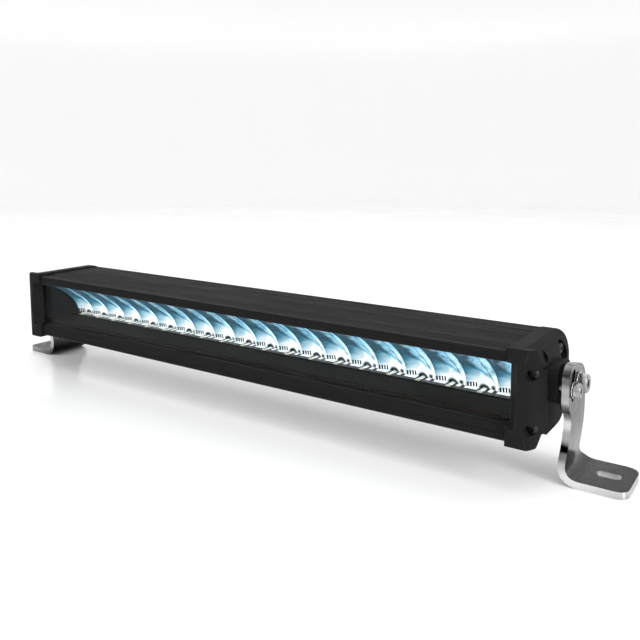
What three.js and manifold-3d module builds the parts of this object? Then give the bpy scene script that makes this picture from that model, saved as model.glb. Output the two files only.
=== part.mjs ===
// A 22 inch single-row LED light bar on two swivelling brackets.
// Millimetres. X runs along the bar, Y points to its back, Z points up.
// The origin lies on the mounting surface, midway along the bar, straight below the brackets' pivot axis.

import * as THREE from 'three';
import { mergeVertices } from 'three/addons/utils/BufferGeometryUtils.js';
import Module from 'manifold-3d';

const wasm = await Module();
wasm.setup();

// Housing extrusion
const HOUSING_HALF = 249;
const FRONT_Y = -43.5;
const BACK_Y = 31.5;
const TOP_Z = 97;
const BOTTOM_Z = 34.2;
const UPPER_LIP_Z = 88;
const LOWER_LIP_Z = 40.7;
const BEVEL_TOP_Z = 46.2;
const GROOVE_FRONT_Y = -39.9;
const GROOVE_BACK_Y = -35;
const GROOVE_LOW_Z = 43.2;
const GROOVE_HIGH_Z = 91.3;
const CEILING_Z = 94;
const SHELF_Z = 47.3;
const BAY_LOW_Z = 36.8;
const BAY_HIGH_Z = 43.4;
const BAY_FRONT_Y = -33;
const BAY_BACK_Y = 14.8;
const BACK_CURVE = 30;
const CHAMBER_BACK_Y = 15.5;
const WALL_BACK_Y = 19.5;
const FIN_COUNT = 8;
const FIN_THICKNESS = 2.7;
const TOP_STEP = 0.6;
const RIDGE_FRONT_Y = -27;
const RIDGE_BACK_Y = -25.6;
const TOP_GROOVES_Y = [0.9, 6.4, 16.2];
const TOP_GROOVE_WIDTH = 1.2;
const PORT_RADIUS = 4.4;
const PORT_BORE = 2.3;

// Optics
const CELL_COUNT = 20;
const CELL_PITCH = 25.3;
const MODULE_COUNT = 2;
const MODULE_GAP = 0.4;
const MIRROR_VERTEX_Y = 8.8;
const MIRROR_FOCUS_Z = 48;
const MIRROR_FOUR_F = 40;
const MIRROR_BACK_FOUR_F = 43;
const MIRROR_LOW_Z = 50.2;
const MIRROR_HIGH_Z = 87.5;
const MIRROR_WALL = 1.6;
const MIRROR_FRONT_Y = -26;
const MIRROR_RIM = 4;
const LENS_HALF = 252.6;
const LENS_THICKNESS = 3;
const LENS_FRONT_Y = -39.6;
const LENS_LOW_Z = 43.5;
const LENS_HIGH_Z = 91;
const SEAL_THICKNESS = 1.2;
const SEAL_BAR = 2.8;
const BEZEL_FRONT_Y = -34.6;
const BEZEL_BACK_Y = -3;
const BEZEL_TOP_Z = 49.6;
const BEZEL_STEPS_Y = [-29, -22];

// Light source
const LED_Y = -0.4;
const LED_SIZE = 3.5;
const LED_HEIGHT = 0.9;
const PAD_THICKNESS = 0.4;
const BOARD_THICKNESS = 1.6;
const BOARD_FRONT_Y = -2.5;
const BOARD_BACK_Y = 10;
const DRIVER_HALF = 125;
const DRIVER_BACK_Y = 8;
const DRIVER_FEET = 0.4;
const COIL_X = [-100, -60, 60, 100];
const COIL_HALF = 9;
const COIL_Y = [-24, -8];
const CHIP_X = [-35, -15, 15, 35];
const CHIP_HALF = 4;
const CHIP_Y = [-6, 5];
const CHIP_HEIGHT = 2.2;
const LINK_Y = [2, 7];
const LINK_HALF = 5;

// End caps and their front covers
const CAP_INNER_X = 250.6;
const CAP_OUTER_X = 269.2;
const COVER_OUTER_X = 271;
const CAP_TOP_Z = 98.6;
const CAP_BOTTOM_Z = 33.4;
const CAP_TOE = [-16, 38.4];
const COVER_TOP_Z = 98.9;
const COVER_BOTTOM_Z = 32.3;
const COVER_RIDGE = [259, -49.5];
const WINDOW_EDGE = [252.4, -40.6];
const WINDOW_INNER_Z = [48.7, 88.2];
const WINDOW_OUTER_Z = [43.7, 89.4];
const COVER_EDGE_Y = -46;
const POCKET_X = 253.6;
const GASKET_THICKNESS = 1;
const COVER_BACK_Y = -10;
const COVER_PLAN_CONTROLS = [[265.5, -48], [270, -44.5], [COVER_OUTER_X, -25]];
const COVER_FRONT_Y = [-46.4, -52.8];
const JOINT_CURVE = [[-33.2, 88], [-24.3, 74.8], [-21.2, 61.5], [-24, 49.5], [-31.2, 39.5]];
const JOINT_TOP_Y = -42.8;
const JOINT_BOTTOM_Y = -41;
const CAP_SHOULDER = [[CAP_OUTER_X, 80], [268.2, 95], [260.5, CAP_TOP_Z]];
const CAP_BACK_ROUND = 8;
const RELIEF = [[-33, 103], [-17.5, 87]];
const RELIEF_WIDTH = 6;
const RELIEF_DEPTH = 3.5;
const SCREW_POCKET = [[12, 78, 5], [27, 77, 4], [27, 84, 3], [19, 93, 3], [12, 93, 4]];
const SCREW_POCKET_DEPTH = 6;
const SCREW_WELL_RADIUS = 5.4;
const PAD_X = 276;
const PAD_OUTLINE = [[-19, 56, 9], [11, 56, 9], [11, 83, 8], [-19, 83, 10]];
const COVER_SCREW_X = 266.8;
const COVER_SCREW_SEAT_Y = -37.5;
const COVER_SCREW_HEAD = 3.3;
const COVER_SCREW_Z = [82.2, 45.4];
const CAP_SCREW_Y = 19.5;
const CAP_SCREW_Z = [86, 46.5];
const REAR_FITTING_X = 260.5;
const REAR_FITTING_Z = 66;
const REAR_THREAD_DEPTH = 7;

// Brackets and their fasteners
const PIVOT_Z = 69.6;
const PLATE = 5;
const ARM_X = 279.5;
const LOBE_FRONT_Y = -20.5;
const LOBE_LOW_Z = 57;
const HEAD_TOP = [[20, 71, 6.4], [10.5, 80.8, 6.4], [-13, 85.4, 5], [-20.5, 79.5, 4.2]];
const HEAD_TOP_Z = 86;
const ARM_FRONT_Y = -13.2;
const ARM_BACK_Y = 20;
const FOOT_END_X = 321.5;
const FOOT_BACK_Y = 32;
const FOOT_SLOT_X = 305;
const FOOT_SLOT_Y = 10;
const FOOT_SLOT_LENGTH = 17;
const FOOT_SLOT_WIDTH = 9;
const BEND_SETBACK = 14;
const ARM_LEAN = 4.4;
const LEAN_END_Z = 48;
const LOCK_RADIUS = 13.6;
const LOCK_ANGLE = 187.5;
const SWING_UP = 45;
const SWING_DOWN = 25;
const PIVOT_SHANK = 4;
const PIVOT_HEAD = [6.5, 5.6];
const PIVOT_SOCKET = 6;
const LOCK_SHANK = 3;
const LOCK_HEAD = [5, 4.6];
const LOCK_SOCKET = 4;
const PIVOT_TIP_X = 258;
const LOCK_TIP_X = 261;
const SPACER_THICKNESS = 2.9;
const SPACER_RADIUS = 10;
const WASHER_THICKNESS = 0.8;
const PIVOT_WASHER_RADIUS = 7.4;
const LOCK_WASHER_RADIUS = 5.6;
const CLEARANCE = 0.3;
const GAP = 0.3;

// Small screws: distance along the screw from the head's face, and radius.
const CAP_SCREW_LENGTH = 26;
const CAP_SCREW_FACE_X = 267.3;
const CAP_SCREW_HEAD = [[0, 0], [0, 3.2], [0.8, 4], [3, 4], [3, 2]];
const CAP_SCREW_RECESS = [[-0.1, 0], [-0.1, 1.9], [2, 1.9], [2.3, 0]];
const COVER_SCREW_LENGTH = 24;
const COVER_SCREW_HEAD_HEIGHT = 2.6;
const COVER_SCREW_RECESS = [[-0.1, 0], [-0.1, 1.7], [1.7, 1.7], [2, 0]];
const SCREW_SHANK = 2;

// Turned profiles of the rear fittings and the LED's dome: distance along the axis, and radius.
const GLAND_DOME = [
  [0, 0], [0, 7.6], [1, 8.2], [8, 8.2], [11, 7], [13, 5.2], [15, 4.7], [15, 3.3], [4, 3.3], [4, 0],
];
const GLAND_HEX = 19;
const GLAND_HEX_THICKNESS = 3;
const REAR_THREAD_RADIUS = 5;
const VENT_HEAD = [[0, REAR_THREAD_RADIUS], [0, 7.5], [2.2, 7.5], [3.4, 6.6], [3.8, 0]];
const LED_DOME = [[0, 0], [0, 1.5], [0.35, 1.35], [0.6, 0.8], [0.7, 0]];

const SIDES = { right: 1, left: -1 };

// ---------------------------------------------------------------- helpers

function solidFrom(geometry) {
  const plain = geometry.clone();
  plain.deleteAttribute('normal');
  plain.deleteAttribute('uv');
  const merged = mergeVertices(plain, 1e-4);
  const vertProperties = Float32Array.from(merged.attributes.position.array);
  const triVerts = Uint32Array.from(merged.index.array);
  return new wasm.Manifold(new wasm.Mesh({ numProp: 3, vertProperties, triVerts }));
}

function geometryFrom(solid) {
  const { vertProperties, triVerts } = solid.getMesh();
  const geometry = new THREE.BufferGeometry();
  geometry.setAttribute('position', new THREE.BufferAttribute(vertProperties, 3));
  geometry.setIndex(new THREE.BufferAttribute(triVerts, 1));
  geometry.computeVertexNormals();
  return geometry;
}

function polygon(points) {
  return new THREE.Shape(points.map(([u, v]) => new THREE.Vector2(u, v)));
}

function rectangle(u0, v0, u1, v1) {
  return polygon([[u0, v0], [u1, v0], [u1, v1], [u0, v1]]);
}

function circle(u, v, radius) {
  const shape = new THREE.Shape();
  shape.absarc(u, v, radius, 0, Math.PI * 2, false);
  return shape;
}

// A closed outline whose corners are [u, v, setback]: each is rounded from that far before it to past it.
function rounded(corners) {
  const shape = new THREE.Shape();
  corners.forEach(([u, v, setback = 0], i) => {
    const corner = new THREE.Vector2(u, v);
    const before = new THREE.Vector2(...corners.at(i - 1));
    const after = new THREE.Vector2(...corners[(i + 1) % corners.length]);
    const start = before.clone().sub(corner).setLength(setback).add(corner);
    const end = after.clone().sub(corner).setLength(setback).add(corner);
    if (i === 0) {
      shape.moveTo(start.x, start.y);
    } else {
      shape.lineTo(start.x, start.y);
    }
    if (setback > 0) {
      shape.quadraticCurveTo(u, v, end.x, end.y);
    }
  });
  return shape;
}

// A slot with round ends between two points.
function slot(from, to, width) {
  const angle = Math.atan2(to[1] - from[1], to[0] - from[0]);
  const shape = new THREE.Shape();
  shape.absarc(to[0], to[1], width / 2, angle - Math.PI / 2, angle + Math.PI / 2, false);
  shape.absarc(from[0], from[1], width / 2, angle + Math.PI / 2, angle + Math.PI * 1.5, false);
  return shape;
}

// A slot with round ends that follows an arc round a centre; angles in degrees.
function arcSlot(centre, radius, width, fromDegrees, toDegrees) {
  const [a, b] = [fromDegrees, toDegrees].map(THREE.MathUtils.degToRad);
  const at = (angle) => [centre[0] + radius * Math.cos(angle), centre[1] + radius * Math.sin(angle)];
  const shape = new THREE.Shape();
  shape.absarc(centre[0], centre[1], radius + width / 2, a, b, false);
  shape.absarc(...at(b), width / 2, b, b + Math.PI, false);
  shape.absarc(centre[0], centre[1], radius - width / 2, b, a, true);
  shape.absarc(...at(a), width / 2, a + Math.PI, a + Math.PI * 2, false);
  return shape;
}

function extrude(shape, length, curveSegments) {
  return new THREE.ExtrudeGeometry(shape, { depth: length, bevelEnabled: false, curveSegments });
}

// The shape's (u, v) are Y and Z.
function alongX(shape, x0, x1, curveSegments = 8) {
  const [low, high] = [Math.min(x0, x1), Math.max(x0, x1)];
  const geometry = extrude(shape, high - low, curveSegments);
  geometry.applyMatrix4(new THREE.Matrix4().set(0, 0, 1, low, 1, 0, 0, 0, 0, 1, 0, 0, 0, 0, 0, 1));
  return solidFrom(geometry);
}

// The shape's (u, v) are X and Z.
function alongY(shape, y0, y1, curveSegments = 8) {
  const geometry = extrude(shape, y1 - y0, curveSegments);
  geometry.applyMatrix4(new THREE.Matrix4().set(1, 0, 0, 0, 0, 0, -1, y1, 0, 1, 0, 0, 0, 0, 0, 1));
  return solidFrom(geometry);
}

// The shape's (u, v) are X and Y.
function alongZ(shape, z0, z1, curveSegments = 8) {
  const geometry = extrude(shape, z1 - z0, curveSegments);
  geometry.translate(0, 0, z0);
  return solidFrom(geometry);
}

function box(x0, x1, y0, y1, z0, z1) {
  const [low, high] = [Math.min(x0, x1), Math.max(x0, x1)];
  const geometry = new THREE.BoxGeometry(high - low, y1 - y0, z1 - z0);
  geometry.translate((low + high) / 2, (y0 + y1) / 2, (z0 + z1) / 2);
  return solidFrom(geometry);
}

// A turned piece: (distance along the axis, radius) pairs, turned round X or Y.
function turned(profile, axis, segments) {
  const points = profile.map(([along, radius]) => new THREE.Vector2(radius, along));
  const geometry = new THREE.LatheGeometry(points, segments);
  if (axis === 'x') {
    geometry.rotateZ(-Math.PI / 2);
  }
  return solidFrom(geometry);
}

function placed(solid, x, y, z) {
  return solid.translate([x, y, z]);
}

function hexagon(u, v, acrossFlats) {
  const radius = acrossFlats / Math.sqrt(3);
  const corners = [0, 1, 2, 3, 4, 5].map((i) => {
    const angle = (i + 0.5) * Math.PI / 3;
    return [u + radius * Math.cos(angle), v + radius * Math.sin(angle)];
  });
  return polygon(corners);
}

// ---------------------------------------------------------------- materials

const FINISHES = {
  blackMetal: { color: 0x232426, roughness: 0.55, metalness: 0.3 },
  capMetal: { color: 0x1e1f21, roughness: 0.6, metalness: 0.3 },
  blackPlastic: { color: 0x141414, roughness: 0.5, metalness: 0 },
  rubber: { color: 0x101010, roughness: 0.9, metalness: 0 },
  clear: { color: 0xdfe6e8, roughness: 0.05, metalness: 0 },
  mirror: { color: 0xd8e4e8, roughness: 0.05, metalness: 1 },
  board: { color: 0xd6d8d4, roughness: 0.5, metalness: 0 },
  led: { color: 0xf3efcf, roughness: 0.3, metalness: 0 },
  pad: { color: 0x9aa4ad, roughness: 0.9, metalness: 0 },
  driver: { color: 0x1f5a38, roughness: 0.5, metalness: 0.1 },
  steel: { color: 0x9a9a98, roughness: 0.3, metalness: 1 },
  bolt: { color: 0xb4b4b2, roughness: 0.25, metalness: 1 },
  screw: { color: 0x2a2a2a, roughness: 0.4, metalness: 0.9 },
};

const bar = new THREE.Group();

function addPiece(name, solid, finish) {
  const mesh = new THREE.Mesh(geometryFrom(solid), new THREE.MeshStandardMaterial(FINISHES[finish]));
  mesh.name = name;
  bar.add(mesh);
}

// ---------------------------------------------------------------- housing

function topProfile() {
  const step = TOP_Z - TOP_STEP;
  const points = [[FRONT_Y, step - 0.6], [FRONT_Y + 0.6, step], [RIDGE_FRONT_Y - TOP_STEP, step]];
  points.push([RIDGE_FRONT_Y, TOP_Z], [RIDGE_BACK_Y, TOP_Z]);
  for (const y of TOP_GROOVES_Y) {
    points.push([y - TOP_GROOVE_WIDTH / 2, TOP_Z], [y, TOP_Z - TOP_STEP], [y + TOP_GROOVE_WIDTH / 2, TOP_Z]);
  }
  points.push([BACK_Y - 2, TOP_Z], [BACK_Y, TOP_Z - 2]);
  return points;
}

// The caps' big lower back round: how far back the section reaches at a height.
function backLimit(z) {
  const rise = Math.min((z - CAP_BOTTOM_Z) / BACK_CURVE, 1);
  const t = 1 - Math.sqrt(Math.max(rise, 0));
  return BACK_Y - BACK_CURVE * t * t;
}

function finProfile() {
  const pitch = (TOP_Z - BOTTOM_Z - FIN_THICKNESS) / (FIN_COUNT - 1);
  const points = [];
  for (let i = FIN_COUNT - 1; i > 0; i -= 1) {
    const finLow = BOTTOM_Z + i * pitch;
    const nextHigh = BOTTOM_Z + (i - 1) * pitch + FIN_THICKNESS;
    points.push([backLimit(finLow) - 0.6, finLow], [WALL_BACK_Y, finLow]);
    if (i > 1) {
      points.push([WALL_BACK_Y, nextHigh], [backLimit(nextHigh) - 0.6, nextHigh]);
    }
  }
  points.push([WALL_BACK_Y, BOTTOM_Z + 6.6], [WALL_BACK_Y - 2.2, BOTTOM_Z + 3.6], [BAY_BACK_Y - 4, BOTTOM_Z]);
  return points;
}

function housingOutline() {
  return polygon([
    [FRONT_Y, BOTTOM_Z + 0.8],
    [FRONT_Y, LOWER_LIP_Z],
    [GROOVE_FRONT_Y - GAP, BEVEL_TOP_Z],
    [GROOVE_FRONT_Y, BEVEL_TOP_Z],
    [GROOVE_FRONT_Y, GROOVE_LOW_Z],
    [GROOVE_BACK_Y, GROOVE_LOW_Z],
    [GROOVE_BACK_Y, SHELF_Z],
    [CHAMBER_BACK_Y, SHELF_Z],
    [CHAMBER_BACK_Y, CEILING_Z],
    [GROOVE_BACK_Y, CEILING_Z],
    [GROOVE_BACK_Y, GROOVE_HIGH_Z],
    [GROOVE_FRONT_Y, GROOVE_HIGH_Z],
    [GROOVE_FRONT_Y, UPPER_LIP_Z],
    [FRONT_Y + 0.4, UPPER_LIP_Z],
    [FRONT_Y, UPPER_LIP_Z + 0.4],
    ...topProfile(),
    ...finProfile(),
    [FRONT_Y + 0.8, BOTTOM_Z],
  ]);
}

// The opening that lets the board link pass up from the driver's bay.
function linkWindow(z0, z1) {
  return box(-LINK_HALF - GAP, LINK_HALF + GAP, LINK_Y[0] - GAP, LINK_Y[1] + GAP, z0, z1);
}

function housing() {
  const bay = polygon([
    [BAY_FRONT_Y, BAY_LOW_Z],
    [BAY_BACK_Y - 6.8, BAY_LOW_Z],
    [BAY_BACK_Y, BAY_LOW_Z + 4],
    [BAY_BACK_Y, BAY_HIGH_Z],
    [BAY_FRONT_Y, BAY_HIGH_Z],
  ]);
  let solid = alongX(housingOutline(), -HOUSING_HALF, HOUSING_HALF);
  solid = solid.subtract(alongX(bay, -HOUSING_HALF - 1, HOUSING_HALF + 1));
  solid = solid.subtract(linkWindow(BAY_HIGH_Z - 1, SHELF_Z + 1));
  for (const z of CAP_SCREW_Z) {
    const port = alongX(circle(CAP_SCREW_Y, z, PORT_RADIUS), -HOUSING_HALF, HOUSING_HALF);
    const bore = alongX(circle(CAP_SCREW_Y, z, PORT_BORE), -HOUSING_HALF - 1, HOUSING_HALF + 1);
    solid = solid.add(port).subtract(bore);
  }
  return solid;
}

addPiece('housing', housing(), 'blackMetal');

// ---------------------------------------------------------------- optics

function lens() {
  const plate = rounded([
    [-LENS_HALF, LENS_LOW_Z, 2],
    [LENS_HALF, LENS_LOW_Z, 2],
    [LENS_HALF, LENS_HIGH_Z, 2],
    [-LENS_HALF, LENS_HIGH_Z, 2],
  ]);
  return alongY(plate, LENS_FRONT_Y, LENS_FRONT_Y + LENS_THICKNESS, 3);
}

function lensSeal() {
  const front = LENS_FRONT_Y + LENS_THICKNESS + 0.1;
  const back = front + SEAL_THICKNESS;
  const half = LENS_HALF - 0.3;
  const outer = alongY(rectangle(-half, LENS_LOW_Z, half, LENS_HIGH_Z), front, back);
  const opening = rectangle(-half + 1.6, LENS_LOW_Z + SEAL_BAR, half - 1.6, LENS_HIGH_Z - SEAL_BAR);
  return outer.subtract(alongY(opening, front - 1, back + 1));
}

// The dark floor in front of the mirrors, with two long steps in its top.
function bezel() {
  const low = SHELF_Z + 0.1;
  const profile = polygon([
    [BEZEL_FRONT_Y, low],
    [BEZEL_BACK_Y, low],
    [BEZEL_BACK_Y, BEZEL_TOP_Z + 0.2],
    [BEZEL_BACK_Y - 1.5, BEZEL_TOP_Z + 0.2],
    [BEZEL_BACK_Y - 2, BEZEL_TOP_Z - 0.6],
    [BEZEL_STEPS_Y[1], BEZEL_TOP_Z - 0.6],
    [BEZEL_STEPS_Y[1] - 0.5, BEZEL_TOP_Z - 0.2],
    [BEZEL_STEPS_Y[0], BEZEL_TOP_Z - 0.2],
    [BEZEL_STEPS_Y[0] - 0.5, BEZEL_TOP_Z],
    [BEZEL_FRONT_Y, BEZEL_TOP_Z],
  ]);
  const half = CELL_COUNT * CELL_PITCH / 2 - 1;
  return alongX(profile, -half, half);
}

// One paraboloid of revolution whose axis points at the viewer; it hollows out one mirror cell.
function cellCutter() {
  const rings = 7;
  const reach = Math.sqrt(MIRROR_FOUR_F * (MIRROR_VERTEX_Y - MIRROR_FRONT_Y + 2));
  const profile = [];
  for (let i = 0; i <= rings; i += 1) {
    const r = reach * i / rings;
    profile.push([MIRROR_VERTEX_Y - r * r / MIRROR_FOUR_F, r]);
  }
  profile.push([MIRROR_FRONT_Y - 2, 0]);
  return turned(profile.reverse(), 'y', 28);
}

function mirrorBackLine() {
  const steps = 10;
  const line = [];
  for (let i = 0; i <= steps; i += 1) {
    const z = THREE.MathUtils.lerp(MIRROR_LOW_Z, MIRROR_HIGH_Z, i / steps);
    const y = MIRROR_VERTEX_Y + MIRROR_WALL - (z - MIRROR_FOCUS_Z) ** 2 / MIRROR_BACK_FOUR_F;
    line.push([Math.max(y, MIRROR_FRONT_Y + MIRROR_RIM), z]);
  }
  return line;
}

function mirrorModule(index) {
  const cells = CELL_COUNT / MODULE_COUNT;
  const width = cells * CELL_PITCH;
  const x0 = -CELL_COUNT * CELL_PITCH / 2 + index * width;
  const front = [[MIRROR_FRONT_Y, MIRROR_HIGH_Z], [MIRROR_FRONT_Y, MIRROR_LOW_Z]];
  const block = polygon([...front, ...mirrorBackLine()]);
  let solid = alongX(block, x0 + MODULE_GAP / 2, x0 + width - MODULE_GAP / 2);
  const cutter = cellCutter();
  for (let cell = 0; cell < cells; cell += 1) {
    solid = solid.subtract(placed(cutter, x0 + (cell + 0.5) * CELL_PITCH, 0, MIRROR_FOCUS_Z));
  }
  return solid;
}

addPiece('lens', lens(), 'clear');
addPiece('lens_seal', lensSeal(), 'rubber');
addPiece('bezel', bezel(), 'blackPlastic');
for (let i = 0; i < MODULE_COUNT; i += 1) {
  addPiece(`reflector_${i + 1}`, mirrorModule(i), 'mirror');
}

// ---------------------------------------------------------------- light source and electronics

const padLow = SHELF_Z + 0.1;
const boardLow = padLow + PAD_THICKNESS + 0.1;
const ledLow = boardLow + BOARD_THICKNESS + 0.1;

function ledBoard(index) {
  const half = HOUSING_HALF - 1;
  const length = half * 2 / MODULE_COUNT;
  const x0 = -half + index * length;
  return box(x0 + MODULE_GAP, x0 + length - MODULE_GAP, BOARD_FRONT_Y, BOARD_BACK_Y, boardLow, ledLow - 0.1);
}

function ledPackage(x) {
  const half = LED_SIZE / 2;
  const base = box(x - half, x + half, LED_Y - half, LED_Y + half, ledLow, ledLow + LED_HEIGHT * 0.5);
  const dome = turned(LED_DOME, 'y', 12).rotate([90, 0, 0]);
  return base.add(placed(dome, x, LED_Y, ledLow + LED_HEIGHT * 0.4));
}

function driverBoard() {
  const low = BAY_LOW_Z + DRIVER_FEET;
  const top = low + BOARD_THICKNESS;
  const high = BAY_HIGH_Z - 0.5;
  let solid = box(-DRIVER_HALF, DRIVER_HALF, BAY_FRONT_Y + 2, DRIVER_BACK_Y, low, top);
  for (const x of COIL_X) {
    solid = solid.add(box(x - COIL_HALF, x + COIL_HALF, ...COIL_Y, top - 0.2, high));
  }
  for (const x of CHIP_X) {
    solid = solid.add(box(x - CHIP_HALF, x + CHIP_HALF, ...CHIP_Y, top - 0.2, top + CHIP_HEIGHT));
  }
  return solid;
}

function thermalPad() {
  const high = padLow + PAD_THICKNESS;
  const half = HOUSING_HALF - 2;
  const sheet = box(-half, half, BOARD_FRONT_Y + 0.5, BOARD_BACK_Y - 0.5, padLow, high);
  return sheet.subtract(linkWindow(padLow - 1, high + 1));
}

// The board-to-board connector that stands on the driver board and feeds both LED boards from below.
function boardLink() {
  const low = BAY_LOW_Z + DRIVER_FEET + BOARD_THICKNESS + 0.2;
  return box(-LINK_HALF, LINK_HALF, ...LINK_Y, low, boardLow - 0.1);
}

addPiece('thermal_pad', thermalPad(), 'pad');
for (let i = 0; i < MODULE_COUNT; i += 1) {
  addPiece(`led_board_${i + 1}`, ledBoard(i), 'board');
}
for (let i = 0; i < CELL_COUNT; i += 1) {
  const x = (i + 0.5 - CELL_COUNT / 2) * CELL_PITCH;
  addPiece(`led_${String(i + 1).padStart(2, '0')}`, ledPackage(x), 'led');
}
addPiece('driver_board', driverBoard(), 'driver');
addPiece('board_link', boardLink(), 'blackPlastic');

// ---------------------------------------------------------------- end caps

// The curved joint between a front cover and its end cap, from top to bottom, as (Y, Z).
function coverJoint(shift) {
  const ends = [[JOINT_TOP_Y, COVER_TOP_Z + 3], [JOINT_BOTTOM_Y, COVER_BOTTOM_Z - 3]];
  const points = [ends[0], ...JOINT_CURVE, ends[1]];
  const curve = new THREE.SplineCurve(points.map(([y, z]) => new THREE.Vector2(y + shift, z)));
  return curve.getPoints(20).map((point) => [point.x, point.y]);
}

function frontArc() {
  const curve = new THREE.QuadraticBezierCurve(
    new THREE.Vector2(COVER_FRONT_Y[0], COVER_BOTTOM_Z),
    new THREE.Vector2(COVER_FRONT_Y[1], (COVER_TOP_Z + COVER_BOTTOM_Z) / 2),
    new THREE.Vector2(COVER_FRONT_Y[0], COVER_TOP_Z),
  );
  return curve.getPoints(10).map((point) => [point.x, point.y]);
}

// Seen from above: the front swells to a ridge beside the window, then rounds off to the side.
function coverPlan(side) {
  const knots = [COVER_RIDGE, ...COVER_PLAN_CONTROLS].map(([x, y]) => new THREE.Vector2(x, y));
  const front = new THREE.CubicBezierCurve(...knots);
  const points = [
    ...front.getPoints(10).map((point) => [point.x, point.y]),
    [COVER_OUTER_X, COVER_BACK_Y],
    [CAP_INNER_X, COVER_BACK_Y],
    [CAP_INNER_X, COVER_EDGE_Y],
  ];
  return polygon(points.map(([x, y]) => [side * x, y]));
}

function coverScrewHole(side, z, radius, y0, y1) {
  return alongY(circle(side * COVER_SCREW_X, z, radius), y0, y1, 10);
}

// The window's end: a pocket behind the bevel that takes the ends of the lens and the mirrors.
function windowPocket(side) {
  return box(side * (CAP_INNER_X - 1), side * POCKET_X, -40.4, 14, GROOVE_LOW_Z, GROOVE_HIGH_Z);
}

// The mitred bevel round the window's end: it widens and rises from the lens to the cover's ridge.
function windowBevel(side) {
  const [innerX, innerY] = WINDOW_EDGE;
  const [outerX, outerY] = COVER_RIDGE;
  const past = (inner, outer) => THREE.MathUtils.lerp(inner, outer, 1.6);
  const [lowIn, highIn] = WINDOW_INNER_Z;
  const [lowOut, highOut] = WINDOW_OUTER_Z;
  const sideView = polygon([
    [innerY + 3, lowIn],
    [innerY + 3, highIn],
    [innerY, highIn],
    [past(innerY, outerY), past(highIn, highOut)],
    [past(innerY, outerY), past(lowIn, lowOut)],
    [innerY, lowIn],
  ]);
  const plan = polygon([
    [side * (CAP_INNER_X - 1), innerY + 3],
    [side * innerX, innerY + 3],
    [side * innerX, innerY],
    [side * past(innerX, outerX), past(innerY, outerY)],
    [side * (CAP_INNER_X - 1), past(innerY, outerY)],
  ]);
  const reach = past(innerX, outerX) + 1;
  return alongX(sideView, side * (CAP_INNER_X - 1), side * reach).intersect(alongZ(plan, 30, 100));
}

function cover(side) {
  const sideView = polygon([...frontArc(), ...coverJoint(-GAP)]);
  let solid = alongX(sideView, side * CAP_INNER_X, side * (COVER_OUTER_X + 1));
  solid = solid.intersect(alongZ(coverPlan(side), COVER_BOTTOM_Z, COVER_TOP_Z));
  solid = solid.subtract(windowBevel(side)).subtract(windowPocket(side));
  for (const z of COVER_SCREW_Z) {
    solid = solid.subtract(coverScrewHole(side, z, COVER_SCREW_HEAD + 0.4, -60, COVER_SCREW_SEAT_Y));
    solid = solid.subtract(coverScrewHole(side, z, 2 + CLEARANCE, COVER_SCREW_SEAT_Y - 1, 0));
  }
  return solid;
}

// Seen from the side: rounded at the back, cut away in front by the curved joint and by a slanted toe.
function capSide() {
  const [toeY, toeZ] = CAP_TOE;
  const joint = coverJoint(0).reverse().filter(([, z]) => z > toeZ && z < CAP_TOP_Z);
  const back = rounded([
    [joint.at(-1)[0] + 1, CAP_TOP_Z],
    [BACK_Y, CAP_TOP_Z, CAP_BACK_ROUND],
    [BACK_Y, CAP_BOTTOM_Z, BACK_CURVE],
    [toeY, CAP_BOTTOM_Z, 3],
    joint[0],
  ]).getPoints(6).map((point) => [point.x, point.y]);
  return polygon([...joint, ...back.slice(0, -1)]);
}

// Seen from the front: the top outer shoulder is a long soft curve.
function capFrontView(side) {
  const shoulder = new THREE.QuadraticBezierCurve(...CAP_SHOULDER.map(([x, z]) => new THREE.Vector2(x, z)));
  const points = [
    [CAP_INNER_X, CAP_BOTTOM_Z - 1],
    [CAP_OUTER_X - 1, CAP_BOTTOM_Z - 1],
    [CAP_OUTER_X, CAP_BOTTOM_Z + 1.5],
    ...shoulder.getPoints(7).map((point) => [point.x, point.y]),
    [CAP_INNER_X, CAP_TOP_Z],
  ];
  return polygon(points.map(([x, z]) => [side * x, z]));
}

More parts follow.
